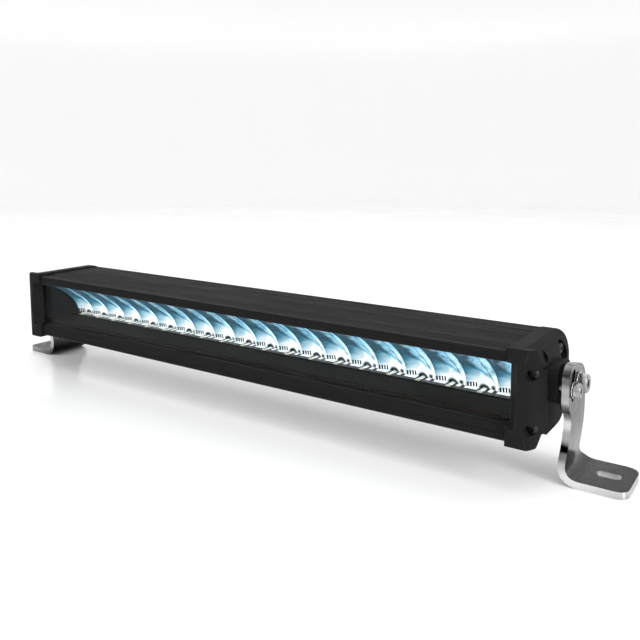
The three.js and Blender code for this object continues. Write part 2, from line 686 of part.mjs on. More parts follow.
function endCap(side) {
  const outside = side * (PAD_X + 4);
  let solid = alongX(capSide(), side * CAP_INNER_X, side * CAP_OUTER_X);
  solid = solid.intersect(alongY(capFrontView(side), -60, 60));
  // A slanted relief follows the joint, and a pocket at the back sinks the upper screw.
  const relief = slot(...RELIEF, RELIEF_WIDTH);
  solid = solid.subtract(alongX(relief, side * (CAP_OUTER_X - RELIEF_DEPTH), outside));
  const pocketFloor = side * (CAP_OUTER_X - SCREW_POCKET_DEPTH);
  solid = solid.subtract(alongX(rounded(SCREW_POCKET), pocketFloor, outside, 4));
  const screwWell = circle(CAP_SCREW_Y, CAP_SCREW_Z[1], SCREW_WELL_RADIUS);
  solid = solid.subtract(alongX(screwWell, pocketFloor, outside));
  // The raised pad that carries the pivot and the lock screw.
  solid = solid.add(alongX(rounded(PAD_OUTLINE), side * (CAP_OUTER_X - 1), side * PAD_X, 6));
  for (const z of CAP_SCREW_Z) {
    const hole = circle(CAP_SCREW_Y, z, 2 + CLEARANCE);
    solid = solid.subtract(alongX(hole, side * (CAP_INNER_X - 1), side * CAP_OUTER_X));
  }
  for (const z of COVER_SCREW_Z) {
    solid = solid.subtract(coverScrewHole(side, z, 2 + CLEARANCE, -45, -10));
  }
  const rearBore = circle(side * REAR_FITTING_X, REAR_FITTING_Z, REAR_THREAD_RADIUS + CLEARANCE);
  solid = solid.subtract(alongY(rearBore, BACK_Y - REAR_THREAD_DEPTH - 1, BACK_Y + 1, 12));
  const [lockY, lockZ] = lockCentre();
  const pivotBore = circle(0, PIVOT_Z, PIVOT_SHANK + CLEARANCE);
  const lockBore = circle(lockY, lockZ, LOCK_SHANK + CLEARANCE);
  solid = solid.subtract(alongX(pivotBore, side * (PIVOT_TIP_X - 1), outside));
  solid = solid.subtract(alongX(lockBore, side * (LOCK_TIP_X - 1), outside));
  return solid.subtract(windowPocket(side));
}

function gasket(side) {
  const x0 = side * (HOUSING_HALF + GAP);
  const x1 = side * (HOUSING_HALF + GAP + GASKET_THICKNESS);
  const sheet = alongX(rounded([
    [FRONT_Y + 3, BOTTOM_Z + 1],
    [BACK_Y - 5, BOTTOM_Z + 1, BACK_CURVE - 6],
    [BACK_Y - 5, TOP_Z - 2],
    [FRONT_Y + 3, TOP_Z - 2],
  ]), x0, x1);
  const chamber = rectangle(FRONT_Y, LENS_LOW_Z - 0.5, CHAMBER_BACK_Y, LENS_HIGH_Z + 0.5);
  const opening = alongX(chamber, x0 - 1, x1 + 1);
  const bores = CAP_SCREW_Z.map((z) => alongX(circle(CAP_SCREW_Y, z, 2.6), x0 - 1, x1 + 1));
  return bores.reduce((left, bore) => left.subtract(bore), sheet.subtract(opening));
}

// A pan-head screw along X that pulls the end cap on to the housing.
function capScrew(side, z) {
  const tip = CAP_SCREW_HEAD.at(-1)[0] + CAP_SCREW_LENGTH;
  const profile = [...CAP_SCREW_HEAD, [tip, SCREW_SHANK], [tip + 0.4, 0]];
  const solid = turned(profile, 'x', 16).subtract(turned(CAP_SCREW_RECESS, 'x', 6));
  return placed(side > 0 ? solid.rotate([0, 0, 180]) : solid, side * CAP_SCREW_FACE_X, CAP_SCREW_Y, z);
}

// A cylinder-head screw along Y whose head seats in the front cover.
function coverScrew(side, z) {
  const [head, seat] = [COVER_SCREW_HEAD, COVER_SCREW_HEAD_HEIGHT];
  const tip = seat + COVER_SCREW_LENGTH;
  const shank = [[seat, SCREW_SHANK], [tip, SCREW_SHANK], [tip + 0.4, 0]];
  const profile = [[0, 0], [0, head - 0.7], [0.6, head], [seat, head], ...shank];
  const solid = turned(profile, 'y', 16).subtract(turned(COVER_SCREW_RECESS, 'y', 6));
  return placed(solid, side * COVER_SCREW_X, COVER_SCREW_SEAT_Y - seat - 0.1, z);
}

// ---------------------------------------------------------------- gland and vent

function rearThread(top) {
  const [depth, radius] = [REAR_THREAD_DEPTH, REAR_THREAD_RADIUS];
  return turned([[-depth, 0], [-depth, radius], [top, radius], [top, 0]], 'y', 20);
}

function gland() {
  const dome = placed(turned(GLAND_DOME, 'y', 20), 0, GLAND_HEX_THICKNESS - 0.4, 0);
  const flange = alongY(hexagon(0, 0, GLAND_HEX), 0, GLAND_HEX_THICKNESS);
  const solid = dome.add(flange).add(rearThread(0.5));
  return placed(solid, -REAR_FITTING_X, BACK_Y + GAP, REAR_FITTING_Z);
}

function vent() {
  const profile = [[-REAR_THREAD_DEPTH, 0], [-REAR_THREAD_DEPTH, REAR_THREAD_RADIUS], ...VENT_HEAD];
  return placed(turned(profile, 'y', 20), REAR_FITTING_X, BACK_Y + GAP, REAR_FITTING_Z);
}

// ---------------------------------------------------------------- brackets

function lockCentre() {
  const angle = THREE.MathUtils.degToRad(LOCK_ANGLE);
  return [LOCK_RADIUS * Math.cos(angle), PIVOT_Z + LOCK_RADIUS * Math.sin(angle)];
}

// The bent plate's middle line in X and Z: foot, bend, leaning lower arm, upright upper arm.
function plateLine() {
  const middle = ARM_X + PLATE / 2;
  const path = new THREE.Path();
  path.moveTo(FOOT_END_X, PLATE / 2);
  path.lineTo(middle - ARM_LEAN + BEND_SETBACK, PLATE / 2);
  path.quadraticCurveTo(middle - ARM_LEAN, PLATE / 2, middle - 2.9, PLATE / 2 + BEND_SETBACK);
  path.quadraticCurveTo(middle, LEAN_END_Z - BEND_SETBACK, middle, LEAN_END_Z);
  path.lineTo(middle, HEAD_TOP_Z);
  return path.getPoints(8);
}

function plateProfile(side) {
  const line = plateLine();
  const left = [];
  const right = [];
  line.forEach((point, i) => {
    const before = line[Math.max(i - 1, 0)];
    const after = line[Math.min(i + 1, line.length - 1)];
    const across = after.clone().sub(before).normalize().multiplyScalar(PLATE / 2);
    left.push([side * (point.x - across.y), point.y + across.x]);
    right.push([side * (point.x + across.y), point.y - across.x]);
  });
  return polygon([...left, ...right.reverse()]);
}

// Seen from the side: a wide head round the bolts, a narrower arm and a flare into the foot.
function armOutline() {
  return rounded([
    [ARM_FRONT_Y, -1],
    [FOOT_BACK_Y, -1],
    [FOOT_BACK_Y, 7, 2],
    [ARM_BACK_Y, 15, 9],
    ...HEAD_TOP,
    [LOBE_FRONT_Y, LOBE_LOW_Z, 5],
    [ARM_FRONT_Y, LOBE_LOW_Z - 8, 5],
  ]);
}

function footOutline(side) {
  return rounded([
    [side * 270, LOBE_FRONT_Y],
    [side * (ARM_X + PLATE), LOBE_FRONT_Y],
    [side * (ARM_X + PLATE), ARM_FRONT_Y],
    [side * FOOT_END_X, ARM_FRONT_Y, 9],
    [side * FOOT_END_X, FOOT_BACK_Y, 11],
    [side * 270, FOOT_BACK_Y],
  ]);
}

function bracket(side) {
  let solid = alongY(plateProfile(side), LOBE_FRONT_Y - 1, FOOT_BACK_Y);
  solid = solid.intersect(alongX(armOutline(), side * 270, side * (FOOT_END_X + 1), 10));
  solid = solid.intersect(alongZ(footOutline(side), -1, HEAD_TOP_Z + 1));
  const armSpan = [side * (ARM_X - 1), side * (ARM_X + PLATE + 1)];
  solid = solid.subtract(alongX(circle(0, PIVOT_Z, PIVOT_SHANK + CLEARANCE), ...armSpan));
  const lockSlot = arcSlot(
    [0, PIVOT_Z],
    LOCK_RADIUS,
    (LOCK_SHANK + CLEARANCE) * 2,
    LOCK_ANGLE - SWING_UP,
    LOCK_ANGLE + SWING_DOWN,
  );
  solid = solid.subtract(alongX(lockSlot, ...armSpan));
  const reach = (FOOT_SLOT_LENGTH - FOOT_SLOT_WIDTH) / 2;
  const ends = [side * FOOT_SLOT_X - reach, side * FOOT_SLOT_X + reach];
  const footSlot = slot([ends[0], FOOT_SLOT_Y], [ends[1], FOOT_SLOT_Y], FOOT_SLOT_WIDTH);
  return solid.subtract(alongZ(footSlot, -1, PLATE + 1));
}

function washer(side, x0, thickness, y, z, outer, inner) {
  const x1 = x0 + thickness;
  const disc = alongX(circle(y, z, outer), side * x0, side * x1, 12);
  return disc.subtract(alongX(circle(y, z, inner), side * (x0 - 1), side * (x1 + 1), 12));
}

// A low-head socket screw: round head with a hexagon socket, and a plain shank to its tip.
function socketScrew(side, headX, [radius, height], socket, shank, tipX, y, z) {
  const top = headX + height;
  const edge = 0.6;
  const profile = [
    [tipX, 0],
    [tipX, shank],
    [headX, shank],
    [headX, radius],
    [top - edge, radius],
    [top, radius - edge],
    [top, 0],
  ];
  const body = placed(turned(profile, 'x', 24), 0, y, z);
  const recess = alongX(hexagon(y, z, socket), top - height * 0.55, top + 1);
  const solid = body.subtract(recess);
  return side > 0 ? solid : solid.mirror([1, 0, 0]);
}

for (const [name, side] of Object.entries(SIDES)) {
  const [lockY, lockZ] = lockCentre();
  const [pivotBore, lockBore] = [PIVOT_SHANK + CLEARANCE, LOCK_SHANK + CLEARANCE];
  const armFace = ARM_X + PLATE + GAP;
  const headX = armFace + WASHER_THICKNESS + GAP;
  addPiece(`end_cap_${name}`, endCap(side), 'capMetal');
  addPiece(`cap_cover_${name}`, cover(side), 'capMetal');
  addPiece(`cap_gasket_${name}`, gasket(side), 'rubber');
  COVER_SCREW_Z.forEach((z, i) => {
    addPiece(`cover_screw_${name}_${i + 1}`, coverScrew(side, z), 'screw');
  });
  CAP_SCREW_Z.forEach((z, i) => {
    addPiece(`cap_screw_${name}_${i + 1}`, capScrew(side, z), 'screw');
  });
  const spacer = washer(side, PAD_X + GAP, SPACER_THICKNESS, 0, PIVOT_Z, SPACER_RADIUS, pivotBore);
  addPiece(`pivot_spacer_${name}`, spacer, 'rubber');
  addPiece(`bracket_${name}`, bracket(side), 'steel');
  const pivotWasher = washer(side, armFace, WASHER_THICKNESS, 0, PIVOT_Z, PIVOT_WASHER_RADIUS, pivotBore);
  addPiece(`pivot_washer_${name}`, pivotWasher, 'bolt');
  const pivotBolt = socketScrew(side, headX, PIVOT_HEAD, PIVOT_SOCKET, PIVOT_SHANK, PIVOT_TIP_X, 0, PIVOT_Z);
  addPiece(`pivot_bolt_${name}`, pivotBolt, 'bolt');
  const lockWasher = washer(side, armFace, WASHER_THICKNESS, lockY, lockZ, LOCK_WASHER_RADIUS, lockBore);
  addPiece(`lock_washer_${name}`, lockWasher, 'bolt');
  const lockBolt = socketScrew(side, headX, LOCK_HEAD, LOCK_SOCKET, LOCK_SHANK, LOCK_TIP_X, lockY, lockZ);
  addPiece(`lock_bolt_${name}`, lockBolt, 'bolt');
}

addPiece('cable_gland', gland(), 'blackPlastic');
addPiece('breather_vent', vent(), 'blackPlastic');

export default bar;
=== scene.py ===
"""Looks for the LED light bar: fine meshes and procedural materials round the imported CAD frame."""

import math

import bmesh
import bpy
from mathutils import Matrix, Vector


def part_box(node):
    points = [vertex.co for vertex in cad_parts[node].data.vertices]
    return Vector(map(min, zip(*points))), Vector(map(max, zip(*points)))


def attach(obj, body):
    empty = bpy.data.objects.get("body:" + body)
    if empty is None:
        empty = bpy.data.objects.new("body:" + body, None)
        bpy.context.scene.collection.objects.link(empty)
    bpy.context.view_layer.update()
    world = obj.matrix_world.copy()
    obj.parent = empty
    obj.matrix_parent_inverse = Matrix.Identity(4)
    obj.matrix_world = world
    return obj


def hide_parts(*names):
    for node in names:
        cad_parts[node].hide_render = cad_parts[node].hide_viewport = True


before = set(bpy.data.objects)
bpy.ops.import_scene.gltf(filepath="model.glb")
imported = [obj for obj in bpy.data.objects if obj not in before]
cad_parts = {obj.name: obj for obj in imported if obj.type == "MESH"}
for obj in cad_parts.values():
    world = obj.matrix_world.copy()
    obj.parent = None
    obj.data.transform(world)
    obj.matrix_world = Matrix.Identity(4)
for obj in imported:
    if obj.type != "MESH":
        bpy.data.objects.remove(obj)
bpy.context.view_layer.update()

# Sizes are in millimetres, in the CAD part's own frame. Outer bounds and bolts are read from its nodes.


def box_mm(node):
    low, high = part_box(node)
    return [c * 1000 for c in low], [c * 1000 for c in high]


HOUSING_LOW, HOUSING_HIGH = box_mm("housing")
LENS_LOW, LENS_HIGH = box_mm("lens")
BEZEL_LOW, BEZEL_HIGH = box_mm("bezel")
CAP_LOW, CAP_HIGH = box_mm("end_cap_right")
COVER_LOW, COVER_HIGH = box_mm("cap_cover_right")
BRACKET_LOW, BRACKET_HIGH = box_mm("bracket_right")
BOLT_LOW, BOLT_HIGH = box_mm("pivot_bolt_right")
LOCK_LOW, LOCK_HIGH = box_mm("lock_bolt_right")

FRONT_Y, BACK_Y = HOUSING_LOW[1], HOUSING_HIGH[1]
BOTTOM_Z, TOP_Z = HOUSING_LOW[2], HOUSING_HIGH[2]
PIVOT_Z = (BOLT_LOW[2] + BOLT_HIGH[2]) / 2
LOCK_Y = (LOCK_LOW[1] + LOCK_HIGH[1]) / 2
LOCK_Z = (LOCK_LOW[2] + LOCK_HIGH[2]) / 2
SIDES = {"right": 1, "left": -1}

CELL_COUNT = 20
CELL_PITCH = 25.3

BACK_CURVE = 30
WALL_BACK_Y = 19.5
CHAMBER_BACK_Y = 15.5
CHAMBER_TOP_Z = 94
GROOVE_FRONT_Y = -39.9
GROOVE_BACK_Y = -35.0
SILL_Z = (40.7, 46.2)
LIP_Z = 88
FIN_COUNT = 8
FIN_THICKNESS = 2.7
TOP_STEP = 0.6
TOP_STEP_Y = -27.0
TOP_GROOVES_Y = (0.9, 6.4, 16.2)
HOUSING_TOE_Y = 10.8
BEZEL_TOP_Z = 49.6
BEZEL_STEPS_Y = (-29, -22)

CAP_OUTER_X = 269.2
CAP_TOE_Y, CAP_TOE_Z = -16, 38.4
COVER_RIDGE = (259.0, -49.5)
COVER_JOINT = ((-33.2, 88), (-24.3, 74.8), (-21.2, 61.5), (-24, 49.5), (-31.2, 39.5))
WINDOW_EDGE = (252.4, -40.6)
WINDOW_INNER_Z = (48.7, 88.2)
WINDOW_OUTER_Z = (43.7, 89.4)
POCKET = (-40.4, 43.2, 14, 91.3)
POCKET_END_X = 253.6
RELIEF = ((-33, 103), (-17.5, 87), 6)
SCREW_POCKET = ((12, 78, 5), (27, 77, 4), (27, 84, 3), (19, 93, 3), (12, 93, 4))
PAD_OUTLINE = ((-19, 56, 9), (11, 56, 9), (11, 83, 8), (-19, 83, 10))
GLAND_X, GLAND_Z = 260.5, 66
GLAND_BORE = 5.3

SCREW_BORE = 2.3
SCREW_BOSS = 4.4
COVER_SCREW_X = 266.8
COVER_SCREW_Z = (82.2, 45.4)
COVER_SCREW_SEAT_Y = -37.5
COVER_SCREW_HEAD = 3.3
CAP_SCREW_Y = 19.5
CAP_SCREW_Z = (86.0, 46.5)
CAP_SCREW_RECESS = 5.4

PLATE = 5.0
ARM_X = 279.5
ARM_FRONT_Y = -13.2
ARM_BACK_Y = 20.0
LOBE_LOW_Z = 57.0
HEAD_TOP = ((ARM_BACK_Y, 71, 6.4), (10.5, 80.8, 6.4), (-13, 85.4, 5), (BRACKET_LOW[1], 79.5, 4.2))
LEAN = 2.9
LEAN_BEND_Z, LEAN_TOP_Z = 34, 48
FOOT_BEND = 14
FOOT_CORNER = 4.4
FOOT_SLOT_X = (301, 309)
FOOT_SLOT_Y = 10.0
FOOT_SLOT_WIDTH = 9
PIVOT_BORE = 4.3
PIVOT_BORE_END_X = 257
LOCK_BORE = 3.3
LOCK_BORE_END_X = 260
LOCK_SLOT_DEGREES = (-45, 25)
HEAD_HEIGHTS = {"pivot_bolt": 5.6, "lock_bolt": 4.6}


# ---------------------------------------------------------------- outlines


def lerp(a, b, t):
    return a + (b - a) * t


def bezier2(a, b, c, steps):
    return [
        tuple(lerp(lerp(a[k], b[k], t), lerp(b[k], c[k], t), t) for k in (0, 1))
        for t in (i / steps for i in range(steps + 1))
    ]


def bezier3(a, b, c, d, steps):
    points = []
    for i in range(steps + 1):
        t = i / steps
        weights = ((1 - t) ** 3, 3 * t * (1 - t) ** 2, 3 * t * t * (1 - t), t**3)
        points.append(tuple(sum(w * p[k] for w, p in zip(weights, (a, b, c, d))) for k in (0, 1)))
    return points


def spline(points, steps):
    """A uniform Catmull-Rom curve through the points."""
    out = []
    last = len(points) - 1
    for i in range(steps + 1):
        place = i / steps * last
        k = min(int(place), last - 1)
        t = place - k
        p0, p1, p2, p3 = points[max(k - 1, 0)], points[k], points[k + 1], points[min(k + 2, last)]
        out.append(
            tuple(
                (2 * p1[c] - 2 * p2[c] + (p2[c] - p0[c]) / 2 + (p3[c] - p1[c]) / 2) * t**3
                + (-3 * p1[c] + 3 * p2[c] - (p2[c] - p0[c]) - (p3[c] - p1[c]) / 2) * t**2
                + (p2[c] - p0[c]) / 2 * t
                + p1[c]
                for c in (0, 1)
            )
        )
    return out


def arc(centre, radius, start, end, steps):
    """Angles in degrees."""
    points = []
    for i in range(steps + 1):
        angle = math.radians(lerp(start, end, i / steps))
        points.append((centre[0] + radius * math.cos(angle), centre[1] + radius * math.sin(angle)))
    return points


def circle(centre, radius, steps=64):
    return arc(centre, radius, 0, 360, steps)[:-1]


def slot(a, b, width, steps=16):
    angle = math.degrees(math.atan2(b[1] - a[1], b[0] - a[0]))
    far = arc(b, width / 2, angle - 90, angle + 90, steps)
    return far + arc(a, width / 2, angle + 90, angle + 270, steps)


def arc_slot(centre, radius, width, start, end, steps=24):
    def at(angle):
        return arc(centre, radius, angle, angle, 1)[0]

    return (
        arc(centre, radius + width / 2, start, end, steps)
        + arc(at(end), width / 2, end, end + 180, 12)[1:-1]
        + arc(centre, radius - width / 2, end, start, steps)
        + arc(at(start), width / 2, start + 180, start + 360, 12)[1:-1]
    )


def rounded(corners, steps=10):
    """Corners are (u, v, setback): each is rounded from that far before it to that far past it."""
    points = []
    for i, corner in enumerate(corners):
        here = Vector(corner[:2])
        setback = corner[2] if len(corner) > 2 else 0
        if not setback:
            points.append(tuple(here))
            continue
        before = Vector(corners[i - 1][:2]) - here
        after = Vector(corners[(i + 1) % len(corners)][:2]) - here
        start, end = here + before.normalized() * setback, here + after.normalized() * setback
        points.extend(bezier2(tuple(start), tuple(here), tuple(end), steps))
    return points


def rectangle(u0, v0, u1, v1):
    return [(u0, v0), (u1, v0), (u1, v1), (u0, v1)]


def hexagon(centre, across):
    return arc(centre, across / math.sqrt(3), 30, 390, 6)[:-1]


# ---------------------------------------------------------------- solids, in millimetres


def mesh_object(name, bm):
    """A linked object with two empty material slots: one for its faces and one for its edges, where a
    painted highlight can go.
    """
    bmesh.ops.recalc_face_normals(bm, faces=bm.faces)
    mesh = bpy.data.meshes.new(name)
    bm.to_mesh(mesh)
    bm.free()
    mesh.materials.append(None)
    mesh.materials.append(None)
    thing = bpy.data.objects.new(name, mesh)
    bpy.context.scene.collection.objects.link(thing)
    return thing


def prism(outline, axis, low, high):
    """A closed solid of an outline: axis x takes (Y, Z), y takes (X, Z), z takes (X, Y)."""
    place = {
        "x": lambda u, v, w: (w, u, v),
        "y": lambda u, v, w: (u, w, v),
        "z": lambda u, v, w: (u, v, w),
    }[axis]
    bm = bmesh.new()
    first = [bm.verts.new(place(u, v, low)) for u, v in outline]
    last = [bm.verts.new(place(u, v, high)) for u, v in outline]
    bm.faces.new(first)
    bm.faces.new(last[::-1])
    for i in range(len(first)):
        j = (i + 1) % len(first)
        bm.faces.new((first[i], first[j], last[j], last[i]))
    return mesh_object("prism", bm)


def turned(profile, axis, centre, segments=64):
    """A closed solid turned round X or Y: profile is (distance along the axis, radius)."""
    bm = bmesh.new()
    rings = []
    for along, radius in profile:
        ring = []
        for i in range(segments if radius > 1e-6 else 1):
            angle = math.tau * i / segments
            u, v = radius * math.cos(angle), radius * math.sin(angle)
            offset = (along, u, v) if axis == "x" else (u, along, v)
            ring.append(bm.verts.new([c + o for c, o in zip(centre, offset)]))
        rings.append(ring)
    closed = len(rings[0]) > 1
    pairs = list(zip(rings, rings[1:])) + ([(rings[-1], rings[0])] if closed else [])
    for a, b in pairs:
        for i in range(segments):
            j = (i + 1) % segments
            corners = [a[i % len(a)], a[j % len(a)], b[j % len(b)], b[i % len(b)]]
            unique = list(dict.fromkeys(corners))
            if len(unique) > 2:
                bm.faces.new(unique)
    return mesh_object("turned", bm)


def baked(thing):
    """Applies the object's modifiers to its mesh."""
    graph = bpy.context.evaluated_depsgraph_get()
    mesh = bpy.data.meshes.new_from_object(thing.evaluated_get(graph))
    thing.modifiers.clear()
    old = thing.data
    thing.data = mesh
    bpy.data.meshes.remove(old)


def boolean(thing, tool, operation):
    modifier = thing.modifiers.new("boolean", "BOOLEAN")
    modifier.object = tool
    modifier.operation = operation
    modifier.solver = "EXACT"
    baked(thing)
    bpy.data.objects.remove(tool)


def cut(thing, *tools):
    for tool in tools:
        boolean(thing, tool, "DIFFERENCE")
    return thing


def join(thing, *tools):
    for tool in tools:
        boolean(thing, tool, "UNION")
    return thing


def keep(thing, *tools):
    for tool in tools:
        boolean(thing, tool, "INTERSECT")
    return thing


def drill(thing, axis, centre, radius, low, high, steps=32):
    cut(thing, prism(circle(centre, radius, steps), axis, low, high))


def welded(thing, reach, flat_angle=None):
    """Merges points that lie closer than the reach, and can merge faces that lie in one plane."""
    bm = bmesh.new()
    bm.from_mesh(thing.data)
    bmesh.ops.remove_doubles(bm, verts=bm.verts, dist=reach)
    bmesh.ops.dissolve_degenerate(bm, edges=bm.edges, dist=reach)
    if flat_angle:
        bmesh.ops.dissolve_limit(bm, angle_limit=math.radians(flat_angle), verts=bm.verts, edges=bm.edges)
    bm.to_mesh(thing.data)
    bm.free()


def eased(thing, width, segments=3, angle=32, edge_slot=0):
    """Small rounds on every edge sharper than the angle, in the given material slot; slot 1 holds a lighter
    copy of the finish, a painted highlight.
    """
    welded(thing, 0.004, 0.4)
    bevel = thing.modifiers.new("ease", "BEVEL")
    bevel.width = width
    bevel.segments = segments
    bevel.limit_method = "ANGLE"
    bevel.angle_limit = math.radians(angle)
    bevel.use_clamp_overlap = True
    bevel.miter_outer = "MITER_ARC"
    bevel.material = edge_slot
    baked(thing)
    welded(thing, 0.003)
    return thing


def mirrored(thing, side):
    if side < 0:
        thing.data.transform(Matrix.Diagonal((-1, 1, 1, 1)))
        thing.data.flip_normals()
    return thing


def piece(name, thing, nodes, body, slot_name, *materials):
    """Names and scales a finished solid, gives it its materials and ties it to the frame."""
    thing.name = name
    thing.data.name = name
    thing.data.transform(Matrix.Scale(0.001, 4))
    finishes = thing.data.materials
    for index, material in enumerate(materials):
        finishes[index] = material
    while len(finishes) > len(materials):
        finishes.pop()
    for face in thing.data.polygons:
        face.use_smooth = True
    weighted = thing.modifiers.new("weighted", "WEIGHTED_NORMAL")
    weighted.keep_sharp = True
    weighted.weight = 60
    thing.data.set_sharp_from_angle(angle=math.radians(48))
    baked(thing)
    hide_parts(*nodes)
    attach(thing, body)


# ---------------------------------------------------------------- materials

BRUSHED_ANISOTROPY = 0.3
LENS_IOR = 1.1
MIRROR_SHADE_Z = (50.0, 70.0)
# Painted reflection: the mirror cells' tones, from slate and teal to white.
MIRROR_REFLECTION_TONES = (
    (0.05, (0.04, 0.1, 0.14)),
    (0.32, (0.06, 0.24, 0.36)),
    (0.62, (0.38, 0.64, 0.76)),
    (0.92, (0.92, 0.98, 1.0)),
)
# Painted light: the mirror cells glow, though they are no lamp.
MIRROR_PAINTED_GLOW = 0.8
# Painted reflection: dark arches, stripes and spots low in each mirror cell, and their colour.
REFLECTION_MARK_COLOR = (0.008, 0.012, 0.015)
REFLECTION_MARKS_TOP_Z = 54.0
ARCH_Z = 48.9
ARCH_RADIUS = 2.9
ARCH_WIDTH = 1.7
STRIPE_HALF_PITCH = 0.95
STRIPE_GAP = 0.32
BOARD_BAND_Y = 3.0
# Painted light: the LED strip's glow, though the board is no lamp.
BOARD_PAINTED_GLOW = 0.7
LED_GLOW = 0.12


class Recipe:
    """A Principled material, with helpers for procedural detail in the object's own coordinates."""

    def __init__(self, name, color, roughness, metallic=0.0, specular=0.5):
        self.material = bpy.data.materials.new(name)
        self.material.use_nodes = True
        self.tree = self.material.node_tree
        self.shader = self.tree.nodes["Principled BSDF"]
        self.place = self.node("ShaderNodeTexCoord").outputs["Object"]
        self.shader.inputs["Base Color"].default_value = (*color, 1)
        self.shader.inputs["Roughness"].default_value = roughness
        self.shader.inputs["Metallic"].default_value = metallic
        self.shader.inputs["Specular IOR Level"].default_value = specular
        self.bumps = None

    def node(self, kind, **inputs):
        node = self.tree.nodes.new(kind)
        for key, value in inputs.items():
            self.feed(node.inputs[key.replace("_", " ")], value)
        return node

    def feed(self, socket, value):
        if isinstance(value, bpy.types.NodeSocket):
            self.tree.links.new(value, socket)
        else:
            socket.default_value = value

    def noise(self, scale, detail=4.0, roughness=0.55, distortion=0.0):
        """Noise whose scale per axis is in cycles per metre."""
        stretch = self.node("ShaderNodeMapping", Vector=self.place, Scale=scale)
        texture = self.node("ShaderNodeTexNoise", Vector=stretch.outputs["Vector"], Scale=1.0, Detail=detail)
        texture.inputs["Roughness"].default_value = roughness
        texture.inputs["Distortion"].default_value = distortion
        return texture.outputs["Fac"]

    def ramp(self, value, *stops):
        """stops are (place, colour or number)."""
        node = self.node("ShaderNodeValToRGB", Fac=value)
        elements = node.color_ramp.elements
        while len(elements) < len(stops):
            elements.new(0.5)
        for element, (place, color) in zip(elements, stops):
            element.position = place
            element.color = (*color, 1) if isinstance(color, tuple) else (color, color, color, 1)
        return node.outputs["Color"]

    def spread(self, value, low, high, from_low=0.3, from_high=0.7):
        """Maps the value from its own range to low and high, and holds it there beyond."""
        node = self.node("ShaderNodeMapRange", Value=value)
        node.inputs["From Min"].default_value = from_low
        node.inputs["From Max"].default_value = from_high
        node.inputs["To Min"].default_value = low
        node.inputs["To Max"].default_value = high
        return node.outputs["Result"]

    def math(self, operation, *values):
        node = self.tree.nodes.new("ShaderNodeMath")
        node.operation = operation
        for socket, value in zip(node.inputs, values):
            self.feed(socket, value)
        return node.outputs["Value"]

    def add(self, first, second):
        return self.math("ADD", first, second)

    def minus(self, first, second):
        return self.math("SUBTRACT", first, second)

    def times(self, first, second):
        return self.math("MULTIPLY", first, second)

    def power(self, value, exponent):
        return self.math("POWER", value, exponent)

    def most(self, first, second):
        return self.math("MAXIMUM", first, second)

    def below(self, value, limit):
        """1 where the value is less than the limit, 0 elsewhere."""
        return self.math("LESS_THAN", value, limit)

    def mix(self, factor, first, second):
        node = self.tree.nodes.new("ShaderNodeMix")
        node.data_type = "RGBA"
        self.feed(node.inputs["Factor"], factor)
        self.feed(node.inputs[6], first)
        self.feed(node.inputs[7], (*second, 1))
        return node.outputs[2]

    def axis(self, letter):
        """The object's own coordinate along one axis, in millimetres."""
        split = self.node("ShaderNodeSeparateXYZ", Vector=self.place)
        return self.times(split.outputs[letter], 1000.0)

    def cell(self):
        """How far across its mirror cell a point lies, from 0 to 1."""
        shifted = self.add(self.axis("X"), CELL_COUNT * CELL_PITCH)
        return self.math("FRACT", self.math("DIVIDE", shifted, CELL_PITCH))

    def beside_led(self, across):
        """How far sideways of its cell's LED a point lies, in millimetres."""
        return self.times(self.minus(across, 0.5), CELL_PITCH)

    def bell(self, value, centre, width):
        """1 where the value meets the centre, falling softly to 0 a width or two away."""
        away = self.math("ABSOLUTE", self.math("DIVIDE", self.minus(value, centre), width))
        return self.math("DIVIDE", 1.0, self.add(1.0, self.power(away, 4.0)))

    def glow(self, value, strength):
        self.feed(self.shader.inputs["Emission Color"], value)
        self.shader.inputs["Emission Strength"].default_value = strength

    def color(self, value):
        self.feed(self.shader.inputs["Base Color"], value)

    def rough(self, value):
        self.feed(self.shader.inputs["Roughness"], value)

    def bump(self, height, strength, distance):
        node = self.node("ShaderNodeBump", Height=height, Strength=strength, Distance=distance)
        if self.bumps is not None:
            self.feed(node.inputs["Normal"], self.bumps)
        self.bumps = node.outputs["Normal"]
        self.feed(self.shader.inputs["Normal"], self.bumps)


def scaled(color, factor):
    return tuple(c * factor for c in color)


def bracket_steel(name, foot, arm, reflection_band_scale, reflection_band_depth, roughness):
    """Rolled stainless plate with painted shade, foot and arm being its tones there: darker towards the
    foot, with soft painted reflection bands along its height.
    """
    recipe = Recipe(name, (arm, arm, arm), roughness, 1.0)
    grain = recipe.noise((1100, 1100, 60), 4, 0.65)
    # Painted reflection: soft light and dark bands along the plate's height.
    painted_reflection_bands = recipe.spread(recipe.noise((6, 6, reflection_band_scale), 2, 0.4), -reflection_band_depth, reflection_band_depth)
    # Painted shade: the tone drops from the arm's to the foot's towards the bottom.
    height = recipe.spread(recipe.axis("Z"), foot, arm, 4.0, 24.0)
    tone = recipe.add(recipe.add(height, painted_reflection_bands), recipe.spread(grain, -0.03, 0.03))
    recipe.color(recipe.ramp(tone, (0.0, 0.0), (1.0, 1.0)))
    recipe.rough(recipe.spread(recipe.noise((45, 45, 45), 4), roughness - 0.04, roughness + 0.08))
    recipe.bump(grain, 0.16, 0.0001)
    recipe.shader.inputs["Anisotropic"].default_value = BRUSHED_ANISOTROPY
    return recipe.material


def coated(name, color, roughness, grain, bump, specular):
    """Fine-textured paint, coating or moulded plastic."""
    recipe = Recipe(name, color, roughness, 0.0, specular)
    broad = recipe.noise((28, 28, 28), 5)
    fine = recipe.noise((grain, grain, grain), 2)
    recipe.color(recipe.ramp(broad, (0.3, scaled(color, 0.82)), (0.72, scaled(color, 1.25))))
    recipe.rough(recipe.spread(broad, roughness - 0.06, roughness + 0.08))
    recipe.bump(fine, bump, 0.0002)
    return recipe.material


